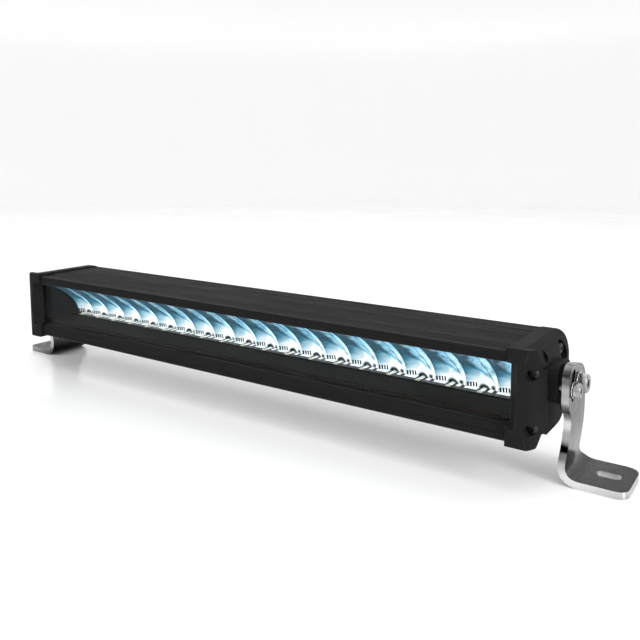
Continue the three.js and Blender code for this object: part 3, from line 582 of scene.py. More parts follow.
def anodised(name, color, roughness, specular):
    """A black extrusion: die lines along its length over a satin coat."""
    recipe = Recipe(name, color, roughness, 0.0, specular)
    lines = recipe.noise((1.5, 900, 900), 3, 0.7)
    fine = recipe.noise((40, 2600, 2600), 2)
    broad = recipe.noise((9, 30, 30), 4)
    recipe.color(recipe.ramp(lines, (0.3, scaled(color, 0.8)), (0.7, scaled(color, 1.3))))
    recipe.rough(recipe.spread(broad, roughness - 0.07, roughness + 0.07))
    recipe.bump(lines, 0.35, 0.0001)
    recipe.bump(fine, 0.25, 0.00005)
    return recipe.material


def brushed(name, color, roughness, streaks, bump):
    """Brushed steel: streaks per axis are in cycles per metre."""
    recipe = Recipe(name, color, roughness, 1.0)
    grain = recipe.noise(streaks, 4, 0.65)
    broad = recipe.noise((45, 45, 45), 4)
    recipe.color(recipe.ramp(grain, (0.25, scaled(color, 0.72)), (0.75, scaled(color, 1.12))))
    recipe.rough(recipe.spread(broad, roughness - 0.05, roughness + 0.09))
    recipe.bump(grain, bump, 0.0001)
    recipe.shader.inputs["Anisotropic"].default_value = BRUSHED_ANISOTROPY
    return recipe.material


HOUSING_BLACK = anodised("housing_black", (0.013, 0.013, 0.0133), 0.5, 0.012)
# Painted highlight: a lighter copy of the housing finish for its rounded edges.
HOUSING_EDGE_HIGHLIGHT = coated("housing_painted_highlight", (0.045, 0.0453, 0.0465), 0.38, 900, 0.1, 0.3)
CAP_BLACK = coated("cap_black", (0.0140, 0.0141, 0.0144), 0.52, 1500, 0.45, 0.025)
# Painted highlight: a lighter copy of the cap finish for the caps' and covers' rounded edges.
CAP_EDGE_HIGHLIGHT = coated("cap_painted_highlight", (0.1, 0.101, 0.103), 0.36, 1500, 0.3, 0.4)
PLASTIC_BLACK = coated("plastic_black", (0.007, 0.007, 0.0073), 0.42, 1200, 0.3, 0.25)
FLOOR_BLACK = anodised("bezel_black", (0.021, 0.0155, 0.0125), 0.66, 0.02)
RUBBER_BLACK = coated("rubber_black", (0.014, 0.014, 0.014), 0.75, 900, 0.5, 0.3)
PAD_GREY = coated("pad_grey", (0.30, 0.33, 0.36), 0.85, 700, 0.4, 0.3)
SCREW_DARK = brushed("screw_dark", (0.045, 0.045, 0.048), 0.34, (900, 900, 900), 0.2)
# Both bracket finishes carry painted shade at the foot; the edge one is a lighter copy, a painted highlight.
BRACKET_STEEL_PAINTED_SHADE = bracket_steel("bracket_steel", 0.008, 0.1, 30, 0.04, 0.24)
BRACKET_EDGE_HIGHLIGHT = bracket_steel("bracket_painted_highlight", 0.3, 0.4, 60, 0.5, 0.2)
BOLT_STEEL = brushed("bolt_steel", (0.2, 0.2, 0.2), 0.16, (500, 1600, 1600), 0.12)
# Painted highlight for the bolts' rounded edges; the washers are wholly this brighter steel.
BOLT_HIGHLIGHT_AND_WASHER_STEEL = brushed("bolt_highlight_and_washer_steel", (0.6, 0.6, 0.6), 0.1, (900, 900, 900), 0.06)


def clear_lens():
    recipe = Recipe("lens_clear", (0.97, 0.972, 0.97), 0.02, 0.0, 0.5)
    recipe.shader.inputs["Transmission Weight"].default_value = 1.0
    recipe.shader.inputs["IOR"].default_value = LENS_IOR
    broad = recipe.noise((12, 12, 12), 3)
    recipe.rough(recipe.spread(broad, 0.005, 0.03))
    recipe.bump(recipe.noise((25, 25, 25), 2), 0.03, 0.0002)
    return recipe.material


def painted_reflection_tone(recipe, across, mottle):
    """Painted reflection: lighter to the right and low down, less a thin dark line, a slanting band and a
    crest.
    """
    up = recipe.spread(recipe.axis("Z"), 0.0, 1.0, *MIRROR_SHADE_Z)
    tone = recipe.times(recipe.power(across, 0.65), 0.85)
    tone = recipe.add(tone, recipe.times(recipe.power(recipe.minus(1.0, up), 1.3), 0.98))
    reflected_dark_line = recipe.bell(across, recipe.minus(0.93, recipe.times(up, 0.28)), 0.022)
    band = recipe.bell(up, recipe.minus(1.25, across), 0.1)
    crest = recipe.times(recipe.power(across, 3.0), up)
    for shade, strength in ((reflected_dark_line, 0.5), (band, 0.3), (crest, 0.38)):
        tone = recipe.minus(tone, recipe.times(shade, strength))
    return recipe.minus(recipe.add(tone, mottle), 0.09)


def painted_reflection_marks(recipe, across):
    """The painted reflection that each cell shows at its lower edge, a dark arch, stripes and a spot: 1 on
    them, 0 elsewhere.
    """
    rise = recipe.minus(recipe.axis("Z"), ARCH_Z)
    beside = recipe.beside_led(across)
    reach = recipe.math("SQRT", recipe.add(recipe.power(beside, 2.0), recipe.power(rise, 2.0)))
    arch = recipe.bell(reach, ARCH_RADIUS, ARCH_WIDTH)
    wave = recipe.math("PINGPONG", recipe.times(across, CELL_PITCH), STRIPE_HALF_PITCH)
    near = recipe.below(recipe.math("FRACT", recipe.add(across, 0.05)), 0.34)
    reflected_stripes = recipe.times(recipe.math("GREATER_THAN", wave, STRIPE_GAP), near)
    spot = recipe.times(recipe.bell(across, 0.8, 0.08), recipe.bell(rise, 2.4, 2.2))
    marks = recipe.most(recipe.most(arch, reflected_stripes), spot)
    return recipe.times(marks, recipe.below(recipe.axis("Z"), REFLECTION_MARKS_TOP_Z))


def mirror_film():
    """Bright metallised cells with a painted reflection that also glows: white low down, teal to slate
    towards the upper left of each.
    """
    recipe = Recipe("mirror", (0.80, 0.88, 0.905), 0.1, 0.5)
    across = recipe.cell()
    mottle = recipe.spread(recipe.noise((70, 70, 150), 2, 0.5, 0.6), -0.1, 0.1)
    reflection_colour = recipe.ramp(painted_reflection_tone(recipe, across, mottle), *MIRROR_REFLECTION_TONES)
    reflection_colour = recipe.mix(painted_reflection_marks(recipe, across), reflection_colour, REFLECTION_MARK_COLOR)
    recipe.color(reflection_colour)
    # Painted light: the mirror glows with its painted reflection.
    recipe.glow(reflection_colour, MIRROR_PAINTED_GLOW)
    recipe.rough(recipe.spread(mottle, 0.04, 0.1, -0.1, 0.1))
    recipe.bump(recipe.noise((180, 180, 180), 3), 0.04, 0.0003)
    return recipe.material


def led_strip():
    """White solder mask with painted glow and a dark front band; two dark legs by each LED are a painted
    reflection, and a third dark patch lies beside it.
    """
    recipe = Recipe("board_white", (0.8, 0.8, 0.78), 0.35)
    beside = recipe.beside_led(recipe.cell())
    front = recipe.below(recipe.axis("Y"), BOARD_BAND_Y)
    # Painted reflection: the mirrors' dark arch carried down onto the board as two legs by each LED.
    reflected_legs = recipe.bell(recipe.math("ABSOLUTE", beside), 3.0, 1.2)
    dark = recipe.most(front, recipe.most(reflected_legs, recipe.bell(beside, 9.4, 1.5)))
    mask = recipe.ramp(dark, (0.25, (0.82, 0.86, 0.84)), (0.6, (0.006, 0.009, 0.011)))
    recipe.color(mask)
    # Painted light: the board glows with its own colour.
    recipe.glow(mask, BOARD_PAINTED_GLOW)
    recipe.rough(recipe.spread(recipe.noise((400, 400, 400), 3), 0.28, 0.45))
    recipe.bump(dark, 0.3, 0.0001)
    return recipe.material


def circuit_board(name, mask, trace):
    """Solder mask with copper tracks showing through as slightly raised lines."""
    recipe = Recipe(name, mask, 0.35)
    place = recipe.node("ShaderNodeMapping", Vector=recipe.place, Scale=(240, 300, 1))
    bricks = recipe.node("ShaderNodeTexBrick", Vector=place.outputs["Vector"], Scale=1.0)
    bricks.inputs["Color1"].default_value = (*mask, 1)
    bricks.inputs["Color2"].default_value = (*scaled(mask, 1.25), 1)
    bricks.inputs["Mortar"].default_value = (*trace, 1)
    bricks.inputs["Mortar Size"].default_value = 0.03
    recipe.color(bricks.outputs["Color"])
    recipe.rough(recipe.spread(recipe.noise((400, 400, 400), 3), 0.28, 0.45))
    recipe.bump(bricks.outputs["Fac"], 0.3, 0.0001)
    return recipe.material


def led_package():
    recipe = Recipe("led_package", (0.9, 0.86, 0.62), 0.25)
    speck = recipe.noise((3000, 3000, 3000), 2)
    recipe.color(recipe.ramp(speck, (0.3, (0.86, 0.78, 0.42)), (0.7, (0.95, 0.93, 0.80))))
    recipe.rough(recipe.spread(speck, 0.2, 0.4))
    recipe.bump(speck, 0.2, 0.0001)
    recipe.glow((0.95, 0.95, 0.85, 1), LED_GLOW)
    return recipe.material


LENS_CLEAR = clear_lens()
MIRROR = mirror_film()
BOARD_WHITE = led_strip()
BOARD_GREEN = circuit_board("board_green", (0.012, 0.09, 0.035), (0.05, 0.2, 0.08))
LED_PACKAGE = led_package()


# ---------------------------------------------------------------- housing


def back_limit(z):
    """How far back the fins reach at a height: less near the bottom, along the caps' round."""
    rise = min(max((z - CAP_LOW[2]) / BACK_CURVE, 0), 1)
    return BACK_Y - BACK_CURVE * (1 - math.sqrt(rise)) ** 2


def housing_outline():
    step = TOP_Z - TOP_STEP
    lens_low, lens_high = LENS_LOW[2] - 0.3, LENS_HIGH[2] + 0.3
    points = [
        (FRONT_Y, BOTTOM_Z + 0.8),
        (FRONT_Y, SILL_Z[0]),
        (GROOVE_FRONT_Y - 0.3, SILL_Z[1]),
        (GROOVE_FRONT_Y, SILL_Z[1]),
        (GROOVE_FRONT_Y, lens_low),
        (GROOVE_BACK_Y, lens_low),
        (GROOVE_BACK_Y, BEZEL_LOW[2] - 0.1),
        (CHAMBER_BACK_Y, BEZEL_LOW[2] - 0.1),
        (CHAMBER_BACK_Y, CHAMBER_TOP_Z),
        (GROOVE_BACK_Y, CHAMBER_TOP_Z),
        (GROOVE_BACK_Y, lens_high),
        (GROOVE_FRONT_Y, lens_high),
        (GROOVE_FRONT_Y, LIP_Z),
        (FRONT_Y + 0.4, LIP_Z),
        (FRONT_Y, LIP_Z + 0.4),
        (FRONT_Y, step - 0.6),
        (FRONT_Y + 0.6, step),
        (TOP_STEP_Y - 0.6, step),
        (TOP_STEP_Y, TOP_Z),
    ]
    for y in TOP_GROOVES_Y:
        points += [(y - 0.6, TOP_Z), (y - 0.15, step), (y + 0.15, step), (y + 0.6, TOP_Z)]
    points += [(BACK_Y - 2, TOP_Z), (BACK_Y, TOP_Z - 2)]
    pitch = (TOP_Z - BOTTOM_Z - FIN_THICKNESS) / (FIN_COUNT - 1)
    for i in range(FIN_COUNT - 1, 0, -1):
        low = BOTTOM_Z + i * pitch
        below = BOTTOM_Z + (i - 1) * pitch + FIN_THICKNESS
        points += [(back_limit(low) - 0.6, low), (WALL_BACK_Y, low)]
        if i > 1:
            points += [(WALL_BACK_Y, below), (back_limit(below) - 0.6, below)]
    points += [(WALL_BACK_Y, BOTTOM_Z + 6.6), (WALL_BACK_Y - 2.2, BOTTOM_Z + 3.6), (HOUSING_TOE_Y, BOTTOM_Z)]
    return points + [(FRONT_Y + 0.8, BOTTOM_Z)]


def build_housing():
    half = HOUSING_HIGH[0]
    solid = eased(prism(housing_outline(), "x", -half, half), 0.12, 2, edge_slot=1)
    for z in CAP_SCREW_Z:
        join(solid, prism(circle((CAP_SCREW_Y, z), SCREW_BOSS, 32), "x", -half, half))
        drill(solid, "x", (CAP_SCREW_Y, z), SCREW_BORE, -half - 1, half + 1, 24)
    # Painted highlight: the fins' back faces take the lighter edge material.
    for face in solid.data.polygons:
        if face.normal.y > 0.9 and face.center.y > BACK_Y - 0.5:
            face.material_index = 1
    piece("housing_shell", solid, ["housing"], "bar", "housing_black", HOUSING_BLACK, HOUSING_EDGE_HIGHLIGHT)


def build_lens():
    corner = 2
    outline = rounded(
        [
            (LENS_LOW[0], LENS_LOW[2], corner),
            (LENS_HIGH[0], LENS_LOW[2], corner),
            (LENS_HIGH[0], LENS_HIGH[2], corner),
            (LENS_LOW[0], LENS_HIGH[2], corner),
        ]
    )
    pane = prism(outline, "y", LENS_LOW[1], LENS_HIGH[1])
    piece("lens_pane", eased(pane, 0.2, 2), ["lens"], "bar", "lens_clear", LENS_CLEAR)


def build_bezel():
    """A floor that drops by two shallow steps towards the mirrors, with a low kerb at its back."""
    low, top, front, back = BEZEL_LOW[2], BEZEL_TOP_Z, BEZEL_LOW[1], BEZEL_HIGH[1]
    near, far = BEZEL_STEPS_Y
    outline = [
        (front, low),
        (back, low),
        (back, top + 0.2),
        (back - 1.5, top + 0.2),
        (back - 2, top - 0.6),
        (far, top - 0.6),
        (far - 0.5, top - 0.2),
        (near, top - 0.2),
        (near - 0.5, top),
        (front, top),
    ]
    floor = prism(outline, "x", BEZEL_LOW[0], BEZEL_HIGH[0])
    piece("bezel_floor", eased(floor, 0.15, 2), ["bezel"], "bar", "plastic_black", FLOOR_BLACK)


# ---------------------------------------------------------------- mirrors

MIRROR_VERTEX_Y = 8.8
MIRROR_FOCUS_Z = 48.0
# Four focal lengths, of the front and of the back.
MIRROR_FOUR_F = 40.0
MIRROR_BACK_FOUR_F = 43.0
MIRROR_WALL = 1.6
MIRROR_RIM = 4.0
MIRROR_CELLS = 10
MIRROR_COLUMNS, MIRROR_ROWS = 280, 56


def build_mirror(index):
    """Ten paraboloid cells in one moulding: a fine front surface, a plain back and closed edges."""
    name = f"reflector_{index + 1}"
    low, high = box_mm(name)
    columns, rows = MIRROR_COLUMNS, MIRROR_ROWS
    start = (index * MIRROR_CELLS - CELL_COUNT / 2) * CELL_PITCH
    bm = bmesh.new()
    front, back = [], []
    for i in range(columns + 1):
        x = low[0] + (high[0] - low[0]) * i / columns
        across = (x - start) % CELL_PITCH - CELL_PITCH / 2
        front_row, back_row = [], []
        for k in range(rows + 1):
            z = low[2] + (high[2] - low[2]) * k / rows
            rise = (z - MIRROR_FOCUS_Z) ** 2
            y = MIRROR_VERTEX_Y - (rise + across**2) / MIRROR_FOUR_F
            back_y = MIRROR_VERTEX_Y + MIRROR_WALL - rise / MIRROR_BACK_FOUR_F
            front_row.append(bm.verts.new((x, max(y, low[1]), z)))
            back_row.append(bm.verts.new((x, max(back_y, low[1] + MIRROR_RIM), z)))
        front.append(front_row)
        back.append(back_row)
    for i in range(columns):
        for k in range(rows):
            bm.faces.new((front[i][k], front[i + 1][k], front[i + 1][k + 1], front[i][k + 1]))
            bm.faces.new((back[i][k], back[i][k + 1], back[i + 1][k + 1], back[i + 1][k]))
        for k, order in ((0, 1), (rows, -1)):
            bm.faces.new([back[i][k], back[i + 1][k], front[i + 1][k], front[i][k]][::order])
    for k in range(rows):
        bm.faces.new((front[0][k], front[0][k + 1], back[0][k + 1], back[0][k]))
        bm.faces.new((front[-1][k], back[-1][k], back[-1][k + 1], front[-1][k + 1]))
    piece(f"mirror_row_{index + 1}", mesh_object(name, bm), [name], "bar", "mirror", MIRROR)


# ---------------------------------------------------------------- end caps


def cover_joint(shift):
    """The curve between cover and cap in side view, carried a little past the cover's top and bottom."""
    points = [(-42.8, COVER_HIGH[2] + 3), *COVER_JOINT, (-41, COVER_LOW[2] - 3)]
    return spline([(y + shift, z) for y, z in points], 72)


def window_bevel():
    """The wedge that slopes each cover down to the window's edge."""

    def past(inner, outer):
        return lerp(inner, outer, 1.6)

    (inner_x, inner_y), (outer_x, outer_y) = WINDOW_EDGE, COVER_RIDGE
    low_z, high_z = WINDOW_INNER_Z
    past_x, past_y = past(inner_x, outer_x), past(inner_y, outer_y)
    side_view = [
        (inner_y + 3, low_z),
        (inner_y + 3, high_z),
        (inner_y, high_z),
        (past_y, past(high_z, WINDOW_OUTER_Z[1])),
        (past_y, past(low_z, WINDOW_OUTER_Z[0])),
        (inner_y, low_z),
    ]
    plan = [
        (CAP_LOW[0] - 1, inner_y + 3),
        (inner_x, inner_y + 3),
        (inner_x, inner_y),
        (past_x, past_y),
        (CAP_LOW[0] - 1, past_y),
    ]
    wedge = prism(side_view, "x", CAP_LOW[0] - 1, past_x + 1)
    return keep(wedge, prism(plan, "z", 30, 100))


def window_pocket():
    """Room behind the covers' inner edge for the window's end."""
    return prism(rectangle(*POCKET), "x", CAP_LOW[0] - 1, POCKET_END_X)


def build_cover(name, side):
    low_z, high_z, outer_x = COVER_LOW[2], COVER_HIGH[2], COVER_HIGH[0]
    front = bezier2((-46.4, low_z), (-52.8, (low_z + high_z) / 2), (-46.4, high_z), 36)
    solid = prism(front + cover_joint(-0.3), "x", CAP_LOW[0], outer_x + 1)
    plan = bezier3(COVER_RIDGE, (265.5, -48), (270, -44.5), (outer_x, -25), 40)
    plan += [(outer_x, -10), (CAP_LOW[0], -10), (CAP_LOW[0], -46)]
    keep(solid, prism(plan, "z", low_z, high_z))
    cut(solid, window_bevel(), window_pocket())
    eased(solid, 0.9, 4, edge_slot=1)
    for z in COVER_SCREW_Z:
        drill(solid, "y", (COVER_SCREW_X, z), COVER_SCREW_HEAD + 0.4, -60, COVER_SCREW_SEAT_Y, 48)
        drill(solid, "y", (COVER_SCREW_X, z), SCREW_BORE, COVER_SCREW_SEAT_Y - 1, 0)
    eased(solid, 0.15, 2, 50, edge_slot=1)
    nodes = [f"cap_cover_{name}"]
    piece(f"cover_{name}", mirrored(solid, side), nodes, "bar", "cap_black", CAP_BLACK, CAP_EDGE_HIGHLIGHT)


def build_cap(name, side):
    inner, outer, pad_end = CAP_LOW[0], CAP_OUTER_X, CAP_HIGH[0]
    beyond = pad_end + 4
    low_z, high_z, back = CAP_LOW[2], CAP_HIGH[2], CAP_HIGH[1]
    joint = [(y, z) for y, z in cover_joint(0)[::-1] if CAP_TOE_Z < z < high_z]
    rear = rounded(
        [
            (joint[-1][0] + 1, high_z),
            (back, high_z, 8),
            (back, low_z, BACK_CURVE),
            (CAP_TOE_Y, low_z, 3),
        ],
        24,
    )
    solid = prism(joint + rear, "x", inner, outer)
    shoulder = bezier2((outer, 80), (outer - 1, 95), (outer - 8.7, high_z), 20)
    foot = [(inner, low_z - 1), (outer - 1, low_z - 1), (outer, low_z + 1.5)]
    keep(solid, prism(foot + shoulder + [(inner, high_z)], "y", -60, 60))
    cut(solid, prism(slot(*RELIEF), "x", outer - 3.5, beyond))
    cut(solid, prism(rounded(SCREW_POCKET, 6), "x", outer - 6, beyond))
    drill(solid, "x", (CAP_SCREW_Y, CAP_SCREW_Z[1]), CAP_SCREW_RECESS, outer - 6, beyond, 40)
    join(solid, prism(rounded(PAD_OUTLINE, 14), "x", outer - 1, pad_end))
    eased(solid, 0.7, 3, edge_slot=1)
    for z in CAP_SCREW_Z:
        drill(solid, "x", (CAP_SCREW_Y, z), SCREW_BORE, inner - 1, outer)
    for z in COVER_SCREW_Z:
        drill(solid, "y", (COVER_SCREW_X, z), SCREW_BORE, -45, -10)
    drill(solid, "y", (GLAND_X, GLAND_Z), GLAND_BORE, back - 8, back + 1, 40)
    drill(solid, "x", (0, PIVOT_Z), PIVOT_BORE, PIVOT_BORE_END_X, beyond, 40)
    drill(solid, "x", (LOCK_Y, LOCK_Z), LOCK_BORE, LOCK_BORE_END_X, beyond)
    cut(solid, window_pocket())
    eased(solid, 0.15, 2, 50, edge_slot=1)
    nodes = [f"end_cap_{name}"]
    piece(f"cap_{name}", mirrored(solid, side), nodes, "bar", "cap_black", CAP_BLACK, CAP_EDGE_HIGHLIGHT)


def head_recess(axis, centre, depth, radius):
    """A six-lobed driver socket."""
    lobes = []
    for i in range(72):
        angle = math.tau * i / 72
        r = radius * (1 + 0.14 * math.cos(6 * angle))
        lobes.append((r * math.cos(angle), r * math.sin(angle)))
    x, y, z = centre
    if axis == "x":
        return prism([(y + u, z + v) for u, v in lobes], "x", x - depth, x + 1)
    return prism([(x + u, z + v) for u, v in lobes], "y", y - 1, y + depth)


def build_screws(name, side):
    for i, z in enumerate(COVER_SCREW_Z):
        node = f"cover_screw_{name}_{i + 1}"
        y = box_mm(node)[0][1]
        head = COVER_SCREW_HEAD
        crown = [(0, 0), (0, head - 0.9), (0.25, head - 0.4), (0.8, head - 0.06), (1.2, head)]
        profile = crown + [(2.6, head), (2.6, 2), (26.6, 2), (27, 0)]
        solid = turned(profile, "y", (COVER_SCREW_X, y, z), 40)
        cut(solid, head_recess("y", (COVER_SCREW_X, y, z), 1.8, 1.7))
        eased(solid, 0.12, 2)
        piece(f"{node}_head", mirrored(solid, side), [node], "bar", "screw_dark", SCREW_DARK)
    for i, z in enumerate(CAP_SCREW_Z):
        node = f"cap_screw_{name}_{i + 1}"
        low, high = box_mm(node)
        x = max(abs(low[0]), abs(high[0]))
        crown = [(0, 0), (0, 2.8), (-0.3, 3.4), (-0.9, 3.9), (-1.4, 4)]
        profile = crown + [(-3, 4), (-3, 2), (-29, 2), (-29.4, 0)]
        solid = turned(profile, "x", (x, CAP_SCREW_Y, z), 40)
        cut(solid, head_recess("x", (x, CAP_SCREW_Y, z), 2, 1.9))
        eased(solid, 0.12, 2)
        piece(f"{node}_head", mirrored(solid, side), [node], "bar", "screw_dark", SCREW_DARK)


# ---------------------------------------------------------------- brackets and bolts


def plate_profile():
    """The bent plate seen from the front: a foot, a bend, a lean and an upright arm."""
    middle, flat = ARM_X + PLATE / 2, PLATE / 2
    corner_x, bend_top = middle - FOOT_CORNER, (middle - LEAN, flat + FOOT_BEND)
    line = [(BRACKET_HIGH[0], flat)]
    line += bezier2((corner_x + FOOT_BEND, flat), (corner_x, flat), bend_top, 18)
    line += bezier2(bend_top, (middle, LEAN_BEND_Z), (middle, LEAN_TOP_Z), 12)[1:]
    line.append((middle, BRACKET_HIGH[2] + 1))
    left, right = [], []
    for i, point in enumerate(line):
        before, after = line[max(i - 1, 0)], line[min(i + 1, len(line) - 1)]
        along = (Vector(after) - Vector(before)).normalized() * PLATE / 2
        left.append((point[0] - along.y, point[1] + along.x))
        right.append((point[0] + along.y, point[1] - along.x))
    return left + right[::-1]


def build_bracket(name, side):
    foot_end, foot_back, top = BRACKET_HIGH
    lobe_front = BRACKET_LOW[1]
    solid = prism(plate_profile(), "y", lobe_front - 1, foot_back)
    arm = [
        (ARM_FRONT_Y, -1),
        (foot_back, -1),
        (foot_back, 7, 2),
        (ARM_BACK_Y, 15, 9),
        *HEAD_TOP,
        (lobe_front, LOBE_LOW_Z, 5),
        (ARM_FRONT_Y, LOBE_LOW_Z - 8, 5),
    ]
    keep(solid, prism(rounded(arm, 20), "x", 270, foot_end + 1))
    foot = [
        (270, lobe_front),
        (ARM_X + PLATE, lobe_front),
        (ARM_X + PLATE, ARM_FRONT_Y),
        (foot_end, ARM_FRONT_Y, 9),
        (foot_end, foot_back, 11),
        (270, foot_back),
    ]
    keep(solid, prism(rounded(foot, 14), "z", -1, top + 2))
    eased(solid, 0.6, 3, 40, edge_slot=1)
    drill(solid, "x", (0, PIVOT_Z), PIVOT_BORE, ARM_X - 1, ARM_X + PLATE + 1, 40)
    reach = math.hypot(LOCK_Y, LOCK_Z - PIVOT_Z)
    angle = math.degrees(math.atan2(LOCK_Z - PIVOT_Z, LOCK_Y)) % 360
    first, last = (angle + turn for turn in LOCK_SLOT_DEGREES)
    lock_slot = arc_slot((0, PIVOT_Z), reach, 2 * LOCK_BORE, first, last)
    cut(solid, prism(lock_slot, "x", ARM_X - 1, ARM_X + PLATE + 1))
    ends = [(x, FOOT_SLOT_Y) for x in FOOT_SLOT_X]
    cut(solid, prism(slot(*ends, FOOT_SLOT_WIDTH), "z", -1, PLATE + 1))
    eased(solid, 0.35, 2, 50, edge_slot=1)
    # Painted highlight: the plate's cut edges, foot tip and head top take the lighter edge material.
    for face in solid.data.polygons:
        foot_tip = face.center.z < PLATE and face.normal.x > 0.6
        head_top = face.center.z > LOBE_LOW_Z and face.normal.z > 0.4
        if abs(face.normal.y) > 0.4 or foot_tip or head_top:
            face.material_index = 1
    solid = mirrored(solid, side)
    nodes, body = [f"bracket_{name}"], f"bracket_{name}"
    piece(f"bracket_plate_{name}", solid, nodes, body, "bracket_steel", BRACKET_STEEL_PAINTED_SHADE, BRACKET_EDGE_HIGHLIGHT)


def knurled(outer, centre, low, high, teeth=40, depth=0.28):
    """A cylinder along X whose side is cut with fine straight teeth."""
    points = []
    for i in range(teeth):
        for k, r in ((0, 0), (0.3, 0), (0.5, depth), (0.8, depth)):
            angle = math.tau * (i + k) / teeth
            radius = outer - r
            points.append((centre[0] + radius * math.cos(angle), centre[1] + radius * math.sin(angle)))
    return prism(points, "x", low, high)


def build_bolt(name, side, node, socket, shank):
    """A low-head socket screw with a knurled head."""
    low, high = box_mm(f"{node}_right")
    y, z, tip, top = (low[1] + high[1]) / 2, (low[2] + high[2]) / 2, low[0], high[0]
    head = (high[2] - low[2]) / 2
    height = HEAD_HEIGHTS[node]
    seat = top - height
    solid = knurled(head, (y, z), seat, top)
    envelope = [(-0.5, 0), (-0.5, head - 0.3), (0.2, head + 0.4), (height - 0.9, head + 0.1)]
    envelope += [(height, head - 0.75), (height, 0)]
    keep(solid, turned(envelope, "x", (seat, y, z), 80))
    cut(solid, prism(hexagon((y, z), socket), "x", top - height * 0.6, top + 1))
    mouth = [(-0.45, 0), (-0.45, socket * 0.5), (0.2, socket * 0.66), (0.2, 0)]
    cut(solid, turned(mouth, "x", (top, y, z), 48))
    rod = [(tip - seat, 0), (tip - seat, shank), (0.5, shank), (0.5, 0)]
    join(solid, turned(rod, "x", (seat, y, z), 40))
    # Painted highlight: the bolt's rounded edges take the lighter steel.
    eased(solid, 0.12, 2, edge_slot=1)
    nodes = [f"{node}_{name}"]
    piece(f"{node}_head_{name}", mirrored(solid, side), nodes, "bar", "bolt_steel", BOLT_STEEL, BOLT_HIGHLIGHT_AND_WASHER_STEEL)


def build_ring(name, side, node, inner, slot_name, material, ease=0.25):
    low, high = box_mm(f"{node}_right")
    centre = (low[0], (low[1] + high[1]) / 2, (low[2] + high[2]) / 2)
    outer, thickness = (high[2] - low[2]) / 2, high[0] - low[0]
    solid = turned([(0, inner), (0, outer), (thickness, outer), (thickness, inner)], "x", centre)
    eased(solid, ease, 3)
    nodes = [f"{node}_{name}"]
    piece(f"{node}_ring_{name}", mirrored(solid, side), nodes, "bar", slot_name, material)


# ---------------------------------------------------------------- gland and vent

# Profiles are (distance along Y, radius).
GLAND_DOME = [(0, 0), (0, 7.6), (0.6, 8.1), (1.2, 8.2), (8, 8.2), (9.6, 7.9), (11, 7.1), (12.4, 5.9)]
GLAND_DOME += [(13.4, 5.1), (14.6, 4.9), (15, 4.6), (15, 3.6), (14.6, 3.3), (4, 3.3), (4, 0)]
GLAND_RIBS = 18
VENT_HEAD = [(-7, 0), (-7, 5), (0, 5), (0, 7.2), (0.3, 7.5), (2.2, 7.5), (3, 7.2), (3.5, 6.4)]
VENT_HEAD += [(3.8, 5.2), (3.8, 0)]


def build_gland():
    low, high = box_mm("cable_gland")
    x, z = (low[0] + high[0]) / 2, GLAND_Z
    base = high[1] - 17.6
    solid = turned(GLAND_DOME, "y", (x, base + 2.6, z))
    join(solid, prism(hexagon((x, z), 19), "y", base, base + 3))
    join(solid, turned([(-7, 0), (-7, 5), (0.5, 5), (0.5, 0)], "y", (x, base, z)))
    for i in range(GLAND_RIBS):
        angle = math.tau * i / GLAND_RIBS
        centre = (x + 8.5 * math.cos(angle), z + 8.5 * math.sin(angle))
        drill(solid, "y", centre, 0.55, base + 4, base + 9.6, 12)
    eased(solid, 0.2, 2)
    piece("gland_nut", solid, ["cable_gland"], "bar", "plastic_black", PLASTIC_BLACK)


def build_vent():
    low, high = box_mm("breather_vent")
    x, z = (low[0] + high[0]) / 2, (low[2] + high[2]) / 2
    base = low[1] + 7
    solid = turned(VENT_HEAD, "y", (x, base, z))
    for i in range(3):
        angle = math.pi * i / 3
        u, v = 5.2 * math.cos(angle), 5.2 * math.sin(angle)
        cut(solid, prism(slot((x - u, z - v), (x + u, z + v), 1.1, 6), "y", base + 3.2, base + 5))
    eased(solid, 0.15, 2)
    piece("vent_cap", solid, ["breather_vent"], "bar", "plastic_black", PLASTIC_BLACK)


# ---------------------------------------------------------------- the object

build_housing()
build_lens()
build_bezel()
for index in (0, 1):
    build_mirror(index)
for side_name, side_sign in SIDES.items():
    build_cover(side_name, side_sign)
    build_cap(side_name, side_sign)
    build_screws(side_name, side_sign)
    build_bracket(side_name, side_sign)
    build_bolt(side_name, side_sign, "pivot_bolt", 6, 4)
    build_bolt(side_name, side_sign, "lock_bolt", 4, 3)
    build_ring(side_name, side_sign, "pivot_washer", PIVOT_BORE, "bolt_steel", BOLT_HIGHLIGHT_AND_WASHER_STEEL)
    build_ring(side_name, side_sign, "lock_washer", LOCK_BORE, "bolt_steel", BOLT_HIGHLIGHT_AND_WASHER_STEEL)
    build_ring(side_name, side_sign, "pivot_spacer", PIVOT_BORE, "rubber_black", RUBBER_BLACK, 0.5)
build_gland()
build_vent()

NODE_MATERIALS = {
    "lens_seal": RUBBER_BLACK,
    "thermal_pad": PAD_GREY,
    "led_board": BOARD_WHITE,
    "driver_board": BOARD_GREEN,
    "board_link": PLASTIC_BLACK,
    "led_": LED_PACKAGE,
    "cap_gasket": RUBBER_BLACK,
}
# The inner pieces keep their CAD meshes and only change material: the first prefix that fits counts.
for node_name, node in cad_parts.items():
    for prefix, material in NODE_MATERIALS.items():
        if node_name.startswith(prefix):
            for material_slot in node.material_slots:
                material_slot.material = material
            break

# ---------------------------------------------------------------- studio, in metres

FLOOR_RADIUS = 2.4
SWEEP_RADIUS = 1.0
WALL_TOP = 2.6
BACKDROP_SIDES = 96


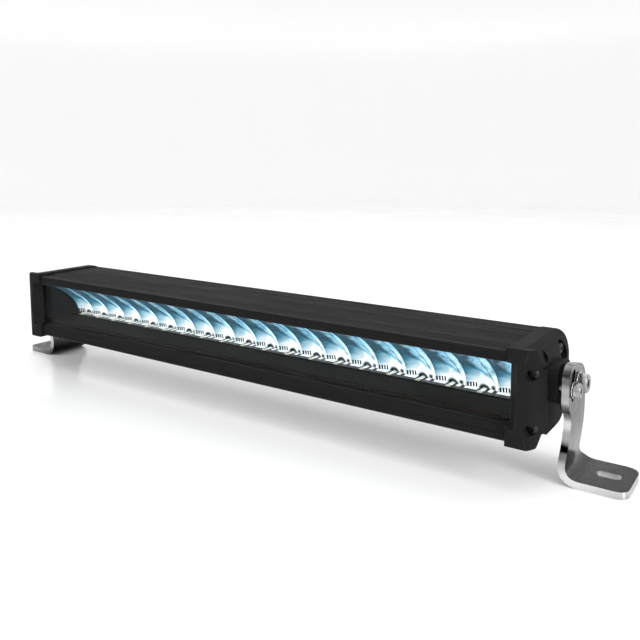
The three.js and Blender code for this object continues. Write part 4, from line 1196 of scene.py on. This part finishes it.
def build_backdrop():
    """A pale floor that sweeps up into a round wall."""
    profile = [(0.0, 0.0), (0.6, 0.0), (FLOOR_RADIUS, 0.0)]
    for i in range(1, 13):
        angle = i * math.pi / 24
        out, up = SWEEP_RADIUS * math.sin(angle), SWEEP_RADIUS * (1 - math.cos(angle))
        profile.append((FLOOR_RADIUS + out, up))
    profile.append((FLOOR_RADIUS + SWEEP_RADIUS, WALL_TOP))
    bm = bmesh.new()
    rings = []
    for radius, z in profile:
        ring = []
        for i in range(BACKDROP_SIDES if radius else 1):
            angle = math.tau * i / BACKDROP_SIDES
            ring.append(bm.verts.new((radius * math.cos(angle), radius * math.sin(angle), z)))
        rings.append(ring)
    for a, b in zip(rings, rings[1:]):
        for i in range(BACKDROP_SIDES):
            j = (i + 1) % BACKDROP_SIDES
            bm.faces.new(list(dict.fromkeys((a[i % len(a)], b[i], b[j], a[j % len(a)]))))
    bmesh.ops.reverse_faces(bm, faces=bm.faces)
    floor = mesh_object("studio_floor", bm)
    for face in floor.data.polygons:
        face.use_smooth = True
    recipe = Recipe("studio_white", (0.90, 0.90, 0.90), 0.2, 0.0, 0.6)
    recipe.rough(recipe.spread(recipe.noise((3, 3, 3), 3), 0.16, 0.24))
    floor.data.materials.clear()
    floor.data.materials.append(recipe.material)


def area_light(name, location, target, size, power):
    data = bpy.data.lights.new(name, "AREA")
    data.shape = "RECTANGLE"
    data.size, data.size_y = size
    data.energy = power
    lamp = bpy.data.objects.new(name, data)
    bpy.context.scene.collection.objects.link(lamp)
    lamp.location = location
    lamp.rotation_euler = (Vector(target) - Vector(location)).to_track_quat("-Z", "Y").to_euler()


CAMERA_LENS = 40.92
CAMERA_SHIFT_Y = -0.1328
CAMERA_PLACE = (0.4117, -0.4934, 0.2244)
CAMERA_TILT = 83.5
CAMERA_TURN = 34.54
WORLD_STRENGTH = 0.95


def build_camera():
    data = bpy.data.cameras.new("camera")
    data.sensor_width = 36
    data.lens = CAMERA_LENS
    data.shift_y = CAMERA_SHIFT_Y
    camera = bpy.data.objects.new("camera", data)
    bpy.context.scene.collection.objects.link(camera)
    camera.location = CAMERA_PLACE
    camera.rotation_euler = (math.radians(CAMERA_TILT), 0, math.radians(CAMERA_TURN))
    bpy.context.scene.camera = camera


build_backdrop()
build_camera()
area_light("overhead", (0.1, 0.3, 2.2), (0, 0, 0.05), (2.4, 1.6), 14)
area_light("front_left", (-1.4, -1.7, 1.2), (0, 0, 0.06), (1.2, 1.0), 22)
area_light("right_rim", (1.9, -0.4, 0.9), (0.2, 0, 0.06), (0.7, 1.0), 18)

world = bpy.data.worlds.new("studio")
world.use_nodes = True
sky = world.node_tree.nodes["Background"]
sky.inputs["Color"].default_value = (1, 1, 1, 1)
sky.inputs["Strength"].default_value = WORLD_STRENGTH
bpy.context.scene.world = world
bpy.context.scene.view_settings.view_transform = "Standard"
